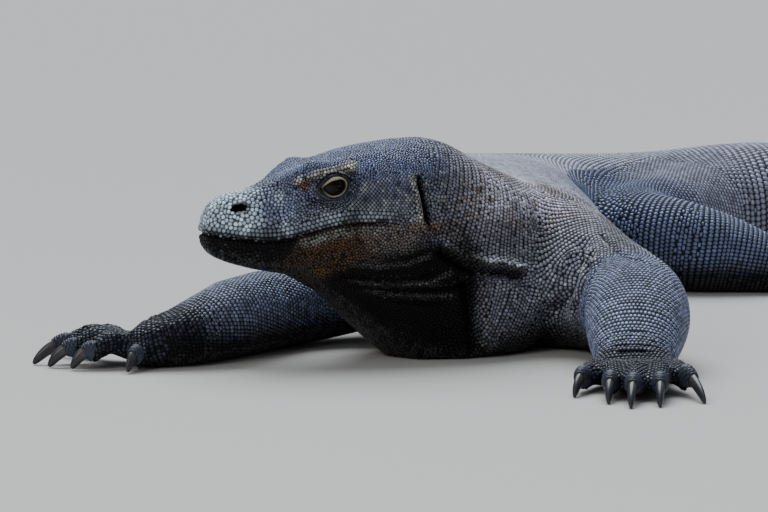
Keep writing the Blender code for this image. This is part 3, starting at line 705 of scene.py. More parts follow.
def scale_roots(mesh, tree):
    """The roots of all the scales, with the skin's normal and the scale's size at each."""
    points, sizes = rows_on_head(tree)
    for name, along, round_spacing in (
        ("fore_left", lambda s: 0.0041 - 0.0006 * s, lambda s: 0.0037 - 0.0005 * s),
        ("fore_right", lambda s: 0.0041 - 0.0006 * s, lambda s: 0.0037 - 0.0005 * s),
        ("hind_left", lambda s: 0.0050, lambda s: 0.0044 - 0.0006 * s),
        ("hind_right", lambda s: 0.0070, lambda s: 0.0062 - 0.0010 * s),
        ("body", body_rings, body_rows),
        *((name, lambda s: 0.0031, lambda s: 0.0030) for name in CURVE_NAMES if name.count("_") == 2),
    ):
        reach = DIGIT_REACH if name.count("_") == 2 else LIMB_REACH
        more, more_sizes = lattice(tree, name, along, round_spacing, reach)
        keep = np.ones(len(more), dtype=bool)
        if name == "body":
            u, _, z = in_head(more)
            keep &= (u < -0.012) | (z < 0.03) & (u < 0.0)
        keep &= spaced(more, more_sizes, points, sizes, ROW_GAP)
        points = np.vstack((points, more[keep]))
        sizes = np.concatenate((sizes, more_sizes[keep]))
    count = len(points)
    more, more_sizes = scattered(mesh, lambda p: np.ones(len(p)), general_size, 6.0)
    keep = spaced(more, more_sizes, points, sizes, FILL_GAP)
    points = np.vstack((points, more[keep]))
    sizes = np.concatenate((sizes, more_sizes[keep]))
    free = np.full(len(points), 1.0)
    free[:count] = 0.12
    points, normals = evened(tree, points, sizes, free)
    keep = spaced(points, sizes, np.empty((0, 3)), np.empty(0), CROWDED_GAP)
    points, normals, sizes = points[keep], normals[keep], sizes[keep]
    more, more_sizes = scattered(mesh, lambda p: np.ones(len(p)), general_size, 4.0)
    keep = spaced(more, more_sizes, points, sizes, HOLE_GAP)
    more, more_normals = on_skin(tree, more[keep])
    sizes = np.concatenate((sizes, more_sizes[keep]))
    return np.vstack((points, more)), np.vstack((normals, more_normals)), sizes


def body_rings(share):
    return (
        0.0035 + 0.0020 * ramp(share, 0.05, 0.13) + 0.0012 * ramp(share, 0.2, 0.4)
        - 0.0020 * ramp(share, 0.7, 1.0)
    )


def body_rows(share):
    return (
        0.0032 + 0.0018 * ramp(share, 0.05, 0.13) + 0.0011 * ramp(share, 0.2, 0.4)
        - 0.0018 * ramp(share, 0.6, 0.95)
    )


# ---------------------------------------------------------------- the scales' shapes
PIECE_SCALES = 7800
# Finishes of the scales by how pale they are: from this tint up, name, roughness and shine.
FINISHES = (
    (0.0, "dark_scales", 0.40, 0.12),
    (0.020, "grey_scales", 0.32, 0.32),
    (0.060, "pale_scales", 0.27, 0.62),
)


def cell_reach(points, normals, ahead, sizes, banded, sides):
    """How far each scale spreads in each direction before it meets its neighbours; banded ones close up in rows."""
    near = neighbours(points, 12)
    first = ahead - normals * (ahead * normals).sum(1)[:, None]
    first /= np.linalg.norm(first, axis=1)[:, None] + 1e-9
    second = np.cross(normals, first)
    offset = points[near] - points[:, None]
    x = (offset * first[:, None]).sum(2)
    y = (offset * second[:, None]).sum(2)
    other_side = (normals[near] * normals[:, None]).sum(2) < 0.1
    square = np.where(other_side, 1.0, x * x + y * y)
    cap = sizes * (0.74 - 0.10 * toe_nearness(points) + 0.22 * far_share(points))
    reach = np.repeat(cap[:, None], sides, axis=1)
    turns = (np.arange(sides) + 0.5) * math.tau / sides
    for k, turn in enumerate(turns):
        toward = x * math.cos(turn) + y * math.sin(turn)
        limit = np.where(toward > 1e-6, square / (2 * np.maximum(toward, 1e-6)), 1.0)
        reach[:, k] = np.minimum(reach[:, k], limit.min(axis=1))
    reach = np.minimum(reach, 1.12 * (np.roll(reach, 1, axis=1) + np.roll(reach, -1, axis=1)) / 2)
    parting = 0.025 + 0.035 * banded[:, None] * np.cos(turns) ** 2 - 0.015 * banded[:, None] * np.sin(turns) ** 2
    reach = np.maximum(reach - parting * sizes[:, None], 0.22 * sizes[:, None])
    return reach, turns, first, second


def scale_mesh(name, roots, reach, turns, first, second, normals, heights, tints, banded, places):
    """One joined mesh of domed scales, with their tints, painted shade and highlights, their finishes and the
    OFBake map.
    """
    count, sides = reach.shape
    cosines, sines = np.cos(turns), np.sin(turns)
    spread = first[:, None] * cosines[None, :, None] + second[:, None] * sines[None, :, None]
    lean = 1 + 0.25 * cosines[None, :, None]
    up = normals[:, None] * heights[:, None, None]
    outer = roots[:, None] + spread * reach[:, :, None] - up * 0.35
    inner = roots[:, None] + spread * (reach * 0.86)[:, :, None] + up * 0.66 * lean
    top = roots[:, None] + up + (first * (reach.mean(axis=1) * 0.12)[:, None])[:, None]
    points = np.concatenate((outer, inner, top), axis=1).reshape(-1, 3)
    points[:, 2] = np.maximum(points[:, 2], 0.0003)
    block = 2 * sides + 1
    around = np.arange(sides)
    after = (around + 1) % sides
    quads = np.column_stack((around, after, after + sides, around + sides))
    caps = np.column_stack((around + sides, after + sides, np.full(sides, 2 * sides)))
    start = (np.arange(count) * block)[:, None, None]
    quads = (quads[None] + start).reshape(-1, 4)
    caps = (caps[None] + start).reshape(-1, 3)
    corners = np.concatenate((quads.ravel(), caps.ravel())).astype(np.int32)
    mesh = bpy.data.meshes.new(name)
    mesh.vertices.add(len(points))
    mesh.vertices.foreach_set("co", points.ravel())
    mesh.loops.add(len(corners))
    mesh.loops.foreach_set("vertex_index", corners)
    mesh.polygons.add(len(quads) + len(caps))
    starts = np.concatenate((np.arange(len(quads)) * 4, len(quads) * 4 + np.arange(len(caps)) * 3))
    mesh.polygons.foreach_set("loop_start", starts.astype(np.int32))
    finish = np.repeat(np.digitize(tints.mean(axis=1), [edge for edge, *_ in FINISHES[1:]]), sides)
    mesh.polygons.foreach_set("material_index", np.concatenate((finish, finish)).astype(np.int32))
    mesh.update(calc_edges=True)
    mesh.shade_smooth()

    # Painted shade and highlight on each scale: the sunk edge is darkened as shade in the groove between scales and
    # the top is lightened as a highlight. Banded scales are darkened less at the edges facing along their rows and
    # have their inner ring lighter there and darker fore and aft. Scales on the far parts are darkened less at
    # their edges.
    shade = np.tile(np.concatenate((np.full(sides, 0.08), np.full(sides, 0.85), [1.30])), (count, 1))
    shade[:, :sides] += 0.42 * banded[:, None] * sines**2 + 0.25 * far_share(roots)[:, None]
    shade[:, sides:-1] += 0.12 * banded[:, None] * (2 * sines**2 - 1)
    colours = np.ones((count, block, 4), dtype=np.float32)
    colours[:, :, :3] = tints[:, None] * shade[:, :, None]
    attribute = mesh.color_attributes.new("tint", "FLOAT_COLOR", "POINT")
    attribute.data.foreach_set("color", colours.ravel())

    patch = 0.0015
    flat = np.concatenate((
        np.column_stack((cosines, sines)) * patch,
        np.column_stack((cosines, sines)) * patch * 0.74,
        [(0.0, 0.0)],
    ))
    where = (places[:, None] + flat[None]).reshape(-1, 2)
    layer = mesh.uv_layers.new(name="OFBake")
    layer.data.foreach_set("uv", where[corners].astype(np.float32).ravel())
    return linked(name, mesh)


def unwrapped(owners, along, turn):
    """Each root's place on the skin unrolled round its own line, one strip of the square for each line."""
    strips = sorted(set(owners))
    places = np.zeros((len(owners), 2))
    for k, owner in enumerate(strips):
        mine = owners == owner
        low, high = along[mine].min(), along[mine].max()
        places[mine, 0] = 0.004 + 0.992 * (along[mine] - low) / (high - low + 1e-9)
        places[mine, 1] = (k + 0.01 + 0.98 * (turn[mine] / math.tau + 0.5)) / len(strips)
    return places


def far_share(points):
    """0 on the head, neck and arms, 1 on the trunk, hind legs and tail."""
    return ramp((points - STANCE)[:, 1], 0.15, 0.40)


def outside_eyes(points):
    """True where a scale keeps clear of the eyes and their lids."""
    clear = np.ones(len(points), dtype=bool)
    for eye in EYES.values():
        offset = points - eye
        opening = opening_share(offset @ FORWARD, offset[:, 2])
        clear &= (opening > 1.50) | (np.linalg.norm(offset, axis=1) > 0.026)
    u, v, z = in_head(points)
    clear &= (nostril_oval(u, z) > np.where(z > NOSTRIL[1], 1.14, 1.05)) | (np.abs(v) < 0.004)
    return clear


def coat(mesh):
    materials = [painted(name, roughness, shine) for _, name, roughness, shine in FINISHES]
    tree = BVHTree.FromPolygons(points_of(mesh).tolist(), [list(p.vertices) for p in mesh.polygons])
    points, normals, sizes = scale_roots(mesh, tree)
    clear = outside_eyes(points)
    points, normals, sizes = points[clear], normals[clear], sizes[clear]
    owners, along, turn, ahead = placed_on_lines(points)
    variety = rng.normal(0, 0.30, len(points)) * (1 - 0.5 * far_share(points))
    tints = markings_and_painted_light(points, normals) * (1 + variety).clip(0.50, 2.0)[:, None]
    u, v, _ = in_head(points)
    on_head = ramp(u, -0.02, 0.02) * (np.abs(v) < 0.08)
    heights = sizes * (0.20 - 0.05 * on_head - 0.05 * toe_nearness(points))
    groups = {}
    for number, name in enumerate(CURVE_NAMES):
        kind = name.rsplit("_", 1)[0] if name.count("_") > 1 else name  # a digit goes with its limb
        groups.setdefault(kind, []).append(number)
    reach, turns, first, second = cell_reach(points, normals, ahead, sizes, 1 - on_head, 8)
    pieces = []
    for kind, numbers in groups.items():
        mine = np.flatnonzero(np.isin(owners, numbers))
        mine = mine[np.argsort(along[mine])] if kind == "body" else mine
        for part in range(0, len(mine), PIECE_SCALES):
            pick = mine[part : part + PIECE_SCALES]
            places = unwrapped(owners[pick], along[pick], turn[pick])
            piece = scale_mesh(
                f"scales_{kind}_{part // PIECE_SCALES + 1}", points[pick], reach[pick], turns, first[pick],
                second[pick], normals[pick], heights[pick], tints[pick], (1 - on_head)[pick], places,
            )
            for material in materials:
                piece.data.materials.append(material)
            pieces.append(piece)
    print("scales", len(points), "pieces", len(pieces), {p.name: len(p.data.polygons) for p in pieces})
    return pieces


# ---------------------------------------------------------------- eyes, lids and claws
def tinted(made, colours):
    """Gives a mesh colours, one for each point, with any painted shade the caller puts in them."""
    attribute = made.data.color_attributes.new("tint", "FLOAT_COLOR", "POINT")
    whole = np.ones((len(made.data.vertices), 4), dtype=np.float32)
    whole[:, :3] = colours
    attribute.data.foreach_set("color", whole.ravel())
    made.data.shade_smooth()
    return made


def grid_faces(rows, columns, closed=True):
    """The quads of a grid of points whose rows run round."""
    faces = []
    for i in range(rows - 1):
        for j in range(columns if closed else columns - 1):
            k = (j + 1) % columns
            faces.append((i * columns + j, i * columns + k, (i + 1) * columns + k, (i + 1) * columns + j))
    return faces


def eyeball(side):
    """A dark wet eye: pupil, brown iris and grey surround in rings round its gaze."""
    eye = EYES[side]
    out = outward_of(eye)
    around, rings = 40, 30
    points, colours = [], []
    for i in range(rings + 1):
        angle = math.radians(2) + math.radians(176) * i / rings
        off = EYE_RADIUS * math.sin(angle)
        bulge = 0.0006 * math.exp(-((off / 0.0045) ** 2)) * (angle < 1.5)
        tone = (0.002, 0.002, 0.002) if off < 0.0036 else (0.011, 0.006, 0.004)
        tone = tone if off < 0.0060 or angle > 1.5 else (0.012, 0.011, 0.014)
        for j in range(around):
            turn = math.tau * j / around
            across = FORWARD * math.cos(turn) + UP * math.sin(turn)
            points.append(eye + out * ((EYE_RADIUS - 0.0003) * math.cos(angle) + bulge) + across * off * 0.975)
            colours.append(tone)
    faces = grid_faces(rings + 1, around)
    faces += [tuple(range(around))[::-1], tuple(rings * around + j for j in range(around))]
    return tinted(object_from(f"eyeball_{side}", points, faces), colours)


# The folds round an eye, from the rim outwards: how far out, thickness, first and last turn, waviness, colour.
LID_FOLDS = (
    (0.90, 0.00060, 0, 360, 0.0, (0.012, 0.010, 0.010)),
    (1.00, 0.00105, 0, 360, 0.0, (0.560, 0.490, 0.290)),
    (1.19, 0.00080, 0, 360, 0.02, (0.030, 0.028, 0.030)),
    (1.35, 0.00105, 165, 380, 0.03, (0.075, 0.080, 0.105)),
    (1.38, 0.00090, 10, 175, 0.04, (0.050, 0.054, 0.080)),
    (1.56, 0.00095, 185, 362, 0.04, (0.042, 0.048, 0.074)),
)


def lid_line(turn, share):
    """Forward and up from the eye's middle, round an almond with a drawn-out front corner."""
    front, rear = max(0, math.cos(turn)), max(0, -math.cos(turn))
    high = OPENING_HIGH * (0.88 if math.sin(turn) > 0 else 1.06) * (1 - 0.42 * front**2.5 - 0.08 * rear**3)
    ahead = OPENING_LONG * share * math.cos(turn) * (1 + 0.05 * front**6 - 0.02 * rear**4)
    return ahead, high * share * math.sin(turn) + OPENING_DROP - OPENING_TILT * ahead


def lids(side):
    """Beaded folds of skin round the eye, the rim pale and the rest dark."""
    eye = EYES[side]
    out = outward_of(eye)
    steps, sides = 128, 8
    points, colours, faces = [], [], []
    for share, thick, start, stop, wave, tone in LID_FOLDS:
        base = len(points)
        for i in range(steps + 1):
            turn = math.radians(start + (stop - start) * i / steps)
            ahead, up = lid_line(turn, share * (1 + wave * math.sin(3 * turn + 7 * share)))
            across = FORWARD * ahead + UP * up
            far = np.linalg.norm(across)
            ball = EYE_RADIUS + 0.0005
            depth = math.sqrt(max(ball**2 - min(far, LID_REACH) ** 2, 0)) - max(far - LID_REACH, 0) * 0.30
            middle = eye + across + out * depth
            ends = 1.0 if stop - start == 360 else math.sin(math.pi * min(max(i / steps, 0.02), 0.98)) ** 0.5
            beads = abs(math.sin(turn * 17 + share * 9))
            rim = 0.95 <= share < 1.1
            bright = max(0, math.sin(turn - 0.12)) ** 0.6 + 0.72 * max(0, -math.sin(turn + 0.45)) ** 0.8
            bead = thick * ends * (1 + 0.14 * beads) * (0.62 + 0.62 * bright if rim else 1)
            radial = across / far
            for j in range(sides):
                angle = math.tau * j / sides
                points.append(middle + (radial * math.cos(angle) + out * math.sin(angle)) * bead)
                shade = (0.50 + 0.55 * beads) * (0.08 + 0.92 * bright if rim else 1)
                colours.append(np.array(tone) * shade)
        faces += [tuple(base + k for k in face) for face in grid_faces(steps + 1, sides)]
    return tinted(object_from(f"lids_{side}", points, faces), colours)


def claw_ends(name):
    """The middle of a claw's root and its tip, read from the solid."""
    pair, side, _ = name.split("_")[1:]
    palm = STANCE + np.array(LINES[f"{pair}_{side}"][-1])
    claw = points_of(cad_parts[name].data)
    reach = np.linalg.norm(claw - palm, axis=1)
    return claw[reach < reach.min() + 0.006].mean(axis=0), claw[reach > reach.max() - 0.002].mean(axis=0)


CLAW_BOW = 0.0088  # how far a claw's middle control point stands above a straight line
HORN_DARK, HORN_RIDGE = np.array((0.030, 0.033, 0.042)), np.array((0.034, 0.030, 0.026))
HORN_WARM = np.array((0.040, 0.030, 0.020))
CUFF_TONE = np.array((0.050, 0.060, 0.090))


def claw_middle(root, tip, t):
    """A place on a claw's bow, and the way it runs there."""
    arch = (root + tip) / 2 + UP * CLAW_BOW
    ahead = (arch - root) * (1 - t) + (tip - arch) * t
    return root * (1 - t) ** 2 + arch * 2 * t * (1 - t) + tip * t * t, ahead / np.linalg.norm(ahead)


def claw(name):
    """A bowed, blunt horn claw with fine ridges, inside the space of its solid."""
    root, tip = claw_ends(name)
    steps, sides = 20, 20
    points, colours = [], []
    for i in range(steps + 1):
        t = 1 - (1 - i / steps) ** 1.3
        middle, ahead = claw_middle(root, tip, t)
        across, over = square_to(ahead)
        thick = 0.0049 * (1 - 0.36 * t**1.6) * math.sqrt(1 - 0.90 * t**8)
        for j in range(sides):
            turn = math.tau * j / sides
            ridge = 1 + 0.035 * math.cos(turn * 7) * (1 - t)
            points.append(
                middle + (across * 0.8 * math.cos(turn) + over * 1.15 * math.sin(turn)) * thick * ridge
            )
            tone = HORN_DARK + HORN_RIDGE * max(0, math.cos(turn * 7)) * (1 - t)
            colours.append(tone * (1.5 - 0.8 * t) + HORN_WARM * hill(t - 0.45, 0.18))
    points = np.array(points)
    points[:, 2] = np.maximum(points[:, 2], 0.0004)
    faces = grid_faces(steps + 1, sides)
    faces += [tuple(range(sides))[::-1], tuple(steps * sides + j for j in range(sides))]
    return tinted(object_from(f"horn_{name}", points, faces), colours)


# The cuff of skin round a claw's root: how far along the claw, ring radius and thickness.
CUFF_RINGS = (
    (0.00, 0.0062, 0.0018), (0.06, 0.0063, 0.0018), (0.12, 0.0062, 0.0017), (0.18, 0.0059, 0.0016),
    (0.24, 0.0056, 0.0015), (0.30, 0.0052, 0.0014), (0.36, 0.0048, 0.0012),
)


def cuff(name):
    """Rings of beaded skin round the root of a claw, with painted shade: each bead lighter on its outward face,
    darker between the beads and towards the claw.
    """
    root, tip = claw_ends(name)
    steps, sides = 32, 6
    points, colours, faces = [], [], []
    for number, (t, reach, thick) in enumerate(CUFF_RINGS):
        middle, ahead = claw_middle(root, tip, t)
        across, over = square_to(ahead)
        base = len(points)
        for i in range(steps + 1):
            turn = math.tau * i / steps
            radial = across * 0.85 * math.cos(turn) + over * 1.1 * math.sin(turn)
            beads = abs(math.sin(turn * 4 + number * math.pi / 2))
            bead = thick * (0.84 + 0.28 * beads)
            for j in range(sides):
                angle = math.tau * j / sides
                points.append(
                    middle + radial * (reach + bead * math.cos(angle)) + ahead * bead * math.sin(angle)
                )
                # Painted shade: lighter where a bead is thick and faces outwards, darker between the beads and on
                # the side towards the claw.
                colours.append(CUFF_TONE * (0.25 + 1.05 * beads * max(0.15, math.cos(angle))))
        faces += [tuple(base + k for k in face) for face in grid_faces(steps + 1, sides)]
    points = np.array(points)
    points[:, 2] = np.maximum(points[:, 2], 0.0003)
    return tinted(object_from(f"cuff_{name}", points, faces), colours)


# ---------------------------------------------------------------- markings, painted shade and painted light
# Tones of the skin. Those for downward faces, the lowest parts of the legs, the lower neck, the armpit and under
# the jaw are painted shade. Those for the fold crest and ridges are painted highlights, and the one for the top of
# the shoulder is painted light. The crown's tone is partly its slate colour and partly a painted sky reflection.
TONES = {
    "trunk": (0.310, 0.330, 0.440),
    "tail": (0.140, 0.145, 0.165),
    "downward_shade": (0.030, 0.029, 0.030),
    "near_floor_shade": (0.010, 0.010, 0.012),
    "hind": (0.110, 0.142, 0.270),
    "fore": (0.178, 0.218, 0.350),
    "foot": (0.030, 0.036, 0.058),
    "neck": (0.056, 0.054, 0.063),
    "neck_low": (0.024, 0.020, 0.019),
    "breast": (0.210, 0.216, 0.270),
    "strip": (0.420, 0.440, 0.550),
    "crest_highlight": (0.600, 0.620, 0.700),
    "shoulder_top_light": (0.620, 0.600, 0.740),
    "ridge": (0.150, 0.150, 0.170),
    "armpit_shadow": (0.020, 0.020, 0.022),
    "tan": (0.190, 0.135, 0.095),
    "crown_and_sky_reflection": (0.112, 0.150, 0.300),
    "temple": (0.104, 0.120, 0.205),
    "snout_side": (0.185, 0.230, 0.380),
    "snout": (0.660, 0.820, 0.960),
    "lip": (0.215, 0.245, 0.300),
    "cheek": (0.052, 0.060, 0.088),
    "fleck": (0.300, 0.290, 0.250),
    "brow": (0.450, 0.430, 0.340),
    "jaw_front": (0.004, 0.004, 0.005),
    "jaw_streak": (0.190, 0.220, 0.210),
    "jaw_rust": (0.062, 0.029, 0.009),
    "jaw_back": (0.120, 0.102, 0.090),
    "throat": (0.0040, 0.0030, 0.0022),
    "orange": (0.260, 0.120, 0.045),
}


def mottle(points, grain, seed):
    """Soft blotches between -1 and 1."""
    shift = Vector((seed, seed * 0.37, -seed))
    return np.array([noise.noise(Vector(point) / grain + shift) for point in points])


def markings_and_painted_light(points, normals):
    """The colour of the skin at each point. It has painted shade on downward faces, under the jaw, on the lower
    neck, in the armpit, under the brow and the fold's crest, in the ear slit and nostril, near the floor and on the
    right hand. It has painted light on the top of the shoulder, the crown and the fold ridges.
    """
    u, v, z = in_head(points)
    plan = points - STANCE
    x, y = plan[:, 0], plan[:, 1]
    blotch = mottle(points, 0.035, 3.1)
    patch = mottle(points, 0.014, 5.3)
    fleck = mottle(points, 0.006, 8.7)
    up = normals[:, 2]
    colour = np.tile(np.array(TONES["trunk"]), (len(points), 1))

    # Blends a tone in: some tones are the skin's own markings, others painted shade or painted light.
    def stain_and_light(share, tone):
        share = np.clip(share, 0, 1)[:, None]
        colour[:] = colour * (1 - share) + np.array(TONES[tone]) * share

    owners, along, _, _ = placed_on_lines(points)
    names = np.array(CURVE_NAMES)[owners]
    is_body = names == "body"
    is_fore = np.char.startswith(names, "fore")
    is_hind = np.char.startswith(names, "hind")
    is_toe = np.char.count(names, "_") == 2
    stain_and_light(ramp(along, 1.05, 1.5) * is_body, "tail")
    hind = np.where(is_hind, ramp(along, 0.045, 0.120), 0.0)
    stain_and_light(np.where(is_toe, 1.0, hind) * (names != "body"), "hind")
    far_fore = np.where(is_fore, ramp(along, 0.0, 0.05), 0.0)
    fore = np.where(is_fore & (x > 0.05), ramp(along, 0.085, 0.130), far_fore)

    front = ramp(-y, -0.22, -0.12) * (x < 0.30) * (1 - fore)
    neck = front * (1 - is_hind) * (u < 0.03)
    stain_and_light(neck, "neck")
    colour *= (1 + 0.9 * neck * ramp(fleck + 0.5 * patch, -0.05, 0.45))[:, None]
    # Painted light: the top of the neck and shoulder, which faces the sky, made pale.
    stain_and_light(neck * ramp(z, 0.085, 0.135) * ramp(-u, 0.008, 0.080) * (0.80 + blotch), "shoulder_top_light")
    stain_and_light(neck * 0.65 * ramp(z, 0.080, 0.120) * ramp(fleck + patch, -0.25, 0.5) * ramp(-u, -0.02, 0.03), "tan")
    # Painted shade: the neck darker towards its underside.
    low = neck * ramp(0.112 - z, -0.014, 0.040)
    stain_and_light(low, "neck_low")
    stain_and_light(low * ramp(x, 0.058, 0.086) * ramp(z, 0.0, 0.04), "breast")
    arm = to_line_in_space(plan, np.array(CREASES[0][0]))
    # Painted shadow in the armpit crease, near the floor.
    stain_and_light(hill(arm, 0.030) * (1 - ramp(z, 0.010, 0.040)) * 0.9, "armpit_shadow")
    stain_and_light(0.9 * hill(to_line_in_space(plan, tent_line(0.5)), 0.0080) * (0.8 + 0.5 * fleck), "strip")
    stain_and_light(neck * 0.8 * hill(arm, 0.026) * ramp(z, 0.030, 0.060), "strip")
    stain_and_light(0.7 * hill(to_line_in_space(plan, tent_line(1.5)), 0.0060) * (0.6 + fleck + patch), "tan")
    # Painted shade under the crest of the first fold.
    under_crest = hill(to_line(u, z, FOLDS[1][0])[0], 0.0050) * (np.abs(v) > 0.02) * (u < 0.0) * ~is_fore
    stain_and_light(0.85 * under_crest, "neck_low")
    on_throat = (u < 0.08) * (np.abs(v) > 0.02) * ~is_fore
    # Painted highlights on the crests of the ridge folds, the first one paler and set a little higher.
    for line, _, depth in FOLDS:
        tone, lift = ("crest_highlight", 0.0026) if line == FOLDS[0][0] else ("ridge", 0.0)
        gap, share, _ = to_line(u, z - lift, line)
        if depth < 0:
            stain_and_light(0.95 * hill(gap, 0.0034) * ramp(share, 0.0, 0.2) * on_throat, tone)
    stain_and_light(fore * (0.94 + 0.1 * blotch), "fore")
    stain_and_light(is_fore * (x > 0.05) * ramp(along, 0.250, 0.272), "foot")
    stain_and_light(is_fore * (x < 0.05) * ramp(along, 0.238, 0.270), "foot")
    stain_and_light(is_hind * ramp(x, 0.425, 0.455), "foot")
    # Painted shade on the lowest parts of the hind legs and the right foreleg, near the floor.
    stain_and_light((is_hind | is_fore & (x < 0.05)) * (1 - ramp(z, 0.016, 0.048)), "near_floor_shade")
    stain_and_light(is_toe * 1.0, "foot")
    # Painted shadow: the right hand darkened.
    colour *= 1 - 0.4 * (is_fore & (x < -0.15))[:, None]

    head = ramp(u, -0.065, 0.025) * (np.abs(v) < 0.08) * (z > 0.03) * ~is_fore
    head = head * (z > np.interp(u, (-0.03, 0.06), (0.080, 0.03)))
    stain_and_light(head, "cheek")
    stain_and_light(head * ramp(z, 0.128, 0.150) * (0.8 + blotch), "temple")
    stain_and_light(head * 0.60 * ramp(fleck, 0.10, 0.45) * ramp(-u, -0.085, -0.02) * ramp(z, 0.118, 0.130), "fleck")
    # Crown tone: partly the head's slate colour, partly a painted sky reflection, reaching lower on skin that faces
    # up.
    stain_and_light(head * ramp(z + 0.0125 * up, 0.152, 0.172) * (0.85 + 0.3 * patch), "crown_and_sky_reflection")
    snout_side = ramp(u, 0.088, 0.112) * ramp(z, 0.112, 0.122) * (1 - ramp(z, 0.138, 0.155))
    stain_and_light(head * snout_side * (0.9 + 0.3 * patch), "snout_side")
    mouth_z = np.interp(-u, [-point[0] for point in MOUTH], [point[1] for point in MOUTH])
    rise = z - mouth_z
    stain_and_light(head * ramp(rise, 0.0, 0.002) * (1 - ramp(rise, 0.013, 0.024)) * (0.65 + 0.6 * patch), "lip")
    stain_and_light(head * ramp(u, 0.126, 0.150) * ramp(rise, 0.004, 0.012) * (0.95 + 0.5 * patch), "snout")
    stain_and_light(head * 0.7 * ramp(u, 0.100, 0.120) * hill(rise - 0.009, 0.006) * ramp(patch, -0.2, 0.3), "snout")
    low = ramp(-rise, -0.001, 0.001)
    stain_and_light(head * low * ramp(u, -0.010, 0.014), "jaw_back")
    stain_and_light(head * low * ramp(u, 0.030, 0.060), "jaw_rust")
    stain_and_light(head * low * ramp(u + rise, 0.085, 0.110), "jaw_front")
    streak = hill(rise + 0.0062, 0.0036) * ramp(u, 0.030, 0.055) * (1 - ramp(u, 0.088, 0.112))
    stain_and_light(head * streak * (0.75 + patch), "jaw_streak")
    # Painted shade under the jaw and down the throat, nearly black.
    throat = ramp(-rise - 0.30 * np.maximum(u, 0), 0.010, 0.026) * (u > -0.08) * (np.abs(v) < 0.09) * ~is_fore
    stain_and_light(throat * ramp(u, -0.062, -0.038), "throat")
    # Painted highlights on the fold ridges within the throat's painted shade.
    for line, _, depth in FOLDS:
        gap, share, _ = to_line(u, z, line)
        if depth < 0:
            strength = 0.30 * hill(gap, 0.0022) * ramp(share, 0.0, 0.2) * (np.abs(v) > 0.02)
            stain_and_light(strength * throat, "ridge")
    # Painted shadow under the brow.
    stain_and_light(head * 0.8 * hill(to_line(u, z + 0.0054, BROW)[0], 0.0022), "neck_low")
    brow_gap, brow_share, _ = to_line(u, z, BROW)
    stain_and_light(head * 1.4 * hill(brow_gap, 0.0022 + 0.0016 * brow_share) * (0.7 + 0.6 * fleck), "brow")
    stain_and_light(head * 0.9 * hill(np.hypot((u - 0.0985) / 0.0045, (z - 0.1500) / 0.0030), 1.0), "orange")
    stain_and_light(head * 0.8 * hill(np.hypot((u - 0.1190) / 0.0035, (z - 0.1405) / 0.0060), 1.0), "snout")
    ear = np.hypot((u + 0.004 - 0.9 * (z - 0.1150)) / 0.014, (z - 0.1150) / 0.0055)
    stain_and_light(0.65 * hill(ear, 1.0) * (np.abs(v) > 0.03), "orange")
    stain_and_light(head * 0.8 * hill(to_line(u - 0.0062, z, EAR_SLIT)[0], 0.0024) * (np.abs(v) > 0.03), "brow")
    # Painted shade inside the ear slit.
    stain_and_light(1.2 * hill(to_line(u, z, EAR_SLIT)[0], 0.0024) * (np.abs(v) > 0.03), "throat")
    # Painted shade inside the nostril.
    stain_and_light((nostril_oval(u, z) < 1.05) * (np.abs(v) > 0.005) * 1.0, "throat")
    stain_and_light(head * 0.8 * hill(nostril_oval(u, z) - 1.5, 0.30), "snout")
    # Painted shade on skin that faces down.
    stain_and_light(ramp(-up, 0.25, 0.75) * 0.8, "downward_shade")
    return colour * (1 + 0.16 * blotch + 0.22 * patch + 0.32 * fleck)[:, None]


# ---------------------------------------------------------------- stage
def studio():
    floor = object_from("floor", [(-300, -300, 0), (300, -300, 0), (300, 300, 0), (-300, 300, 0)], [(0, 1, 2, 3)])
    floor.data.materials.append(plain("floor", (0.62, 0.60, 0.57), 0.9))
    for name, kind, place, strength, colour in (
        ("sky_light", "SUN", (-0.9, 1.3, 3.0), 3.4, (0.88, 0.94, 1.0)),
        ("front_light", "AREA", (-2.4, -3.0, 2.0), 26.0, (1.0, 0.97, 0.92)),
    ):
        lamp = bpy.data.lights.new(name, kind)
        lamp.energy = strength
        lamp.color = colour
        if kind == "SUN":
            lamp.angle = math.radians(50)
        else:
            lamp.size = 1.6
        light = linked(name, lamp)
        light.location = place
        light.rotation_euler = (Vector((-0.6, -0.4, 0.05)) - light.location).to_track_quat("-Z", "Y").to_euler()
    world = bpy.data.worlds.new("studio")
    world.use_nodes = True
    world.node_tree.nodes["Background"].inputs["Color"].default_value = (0.75, 0.80, 0.88, 1)
    world.node_tree.nodes["Background"].inputs["Strength"].default_value = 0.30
    bpy.context.scene.world = world


def plain(name, colour, roughness):
    made = bpy.data.materials.new(name)
    made.use_nodes = True
    shader = made.node_tree.nodes["Principled BSDF"]
    shader.inputs["Base Color"].default_value = (*colour, 1)
    shader.inputs["Roughness"].default_value = roughness
    return made


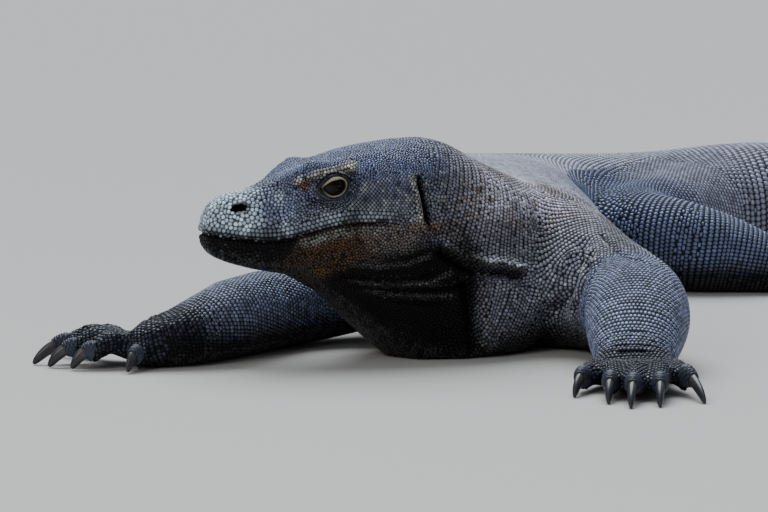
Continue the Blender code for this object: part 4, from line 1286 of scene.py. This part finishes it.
def painted(name, roughness, shine, grit=0.25):
    """A finish that takes its colour from the mesh, with fine mottling and grain."""
    made = bpy.data.materials.new(name)
    made.use_nodes = True
    nodes, links = made.node_tree.nodes, made.node_tree.links
    shader = nodes["Principled BSDF"]
    tint = nodes.new("ShaderNodeVertexColor")
    tint.layer_name = "tint"
    place = nodes.new("ShaderNodeTexCoord")
    grain = nodes.new("ShaderNodeTexNoise")
    grain.inputs["Scale"].default_value = 900
    grain.inputs["Detail"].default_value = 3
    links.new(place.outputs["Object"], grain.inputs["Vector"])
    shade = nodes.new("ShaderNodeMapRange")
    shade.inputs["To Min"].default_value = 0.65
    shade.inputs["To Max"].default_value = 1.35
    links.new(grain.outputs["Fac"], shade.inputs["Value"])
    mixed = nodes.new("ShaderNodeVectorMath")
    mixed.operation = "SCALE"
    links.new(tint.outputs["Color"], mixed.inputs[0])
    links.new(shade.outputs["Result"], mixed.inputs["Scale"])
    links.new(mixed.outputs["Vector"], shader.inputs["Base Color"])
    bump = nodes.new("ShaderNodeBump")
    bump.inputs["Strength"].default_value = grit
    bump.inputs["Distance"].default_value = 0.0004
    links.new(grain.outputs["Fac"], bump.inputs["Height"])
    links.new(bump.outputs["Normal"], shader.inputs["Normal"])
    shader.inputs["Roughness"].default_value = roughness
    shader.inputs["Specular IOR Level"].default_value = shine
    return made


def camera():
    lens = bpy.data.cameras.new("camera")
    lens.lens = 120
    lens.sensor_width = 36
    made = linked("camera", lens)
    made.location = Vector(STANCE) + Vector((0.0, -2.15, 0.3116))
    made.rotation_euler = (math.radians(90 - 5.9), 0, 0)
    bpy.context.scene.camera = made


# ---------------------------------------------------------------- the model
studio()
camera()
flesh = [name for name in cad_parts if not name.startswith(("claw_", "eye_"))]
hide = skin()
# The skin between the scales gets a tenth of the markings' colour: painted shade in the gaps between the scales.
tinted(hide, markings_and_painted_light(points_of(hide.data), normals_of(hide.data)) * 0.10)
hide.data.materials.append(painted("skin", 0.6, 0.12))
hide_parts(*flesh)
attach(hide, "root")
for piece in coat(hide.data):
    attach(piece, "root")
wet = painted("wet_eye", 0.06, 0.16, 0.0)
lid_skin = painted("lid_skin", 0.42, 0.3)
horn = painted("horn", 0.30, 0.5, 0.12)
for side in EYES:
    ball = eyeball(side)
    ball.data.materials.append(wet)
    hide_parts(f"eye_{side}")
    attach(ball, "root")
    rims = lids(side)
    rims.data.materials.append(lid_skin)
    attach(rims, "root")
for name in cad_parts:
    if name.startswith("claw_"):
        nail = claw(name)
        nail.data.materials.append(horn)
        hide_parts(name)
        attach(nail, "root")
        ring = cuff(name)
        ring.data.materials.append(lid_skin)
        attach(ring, "root")
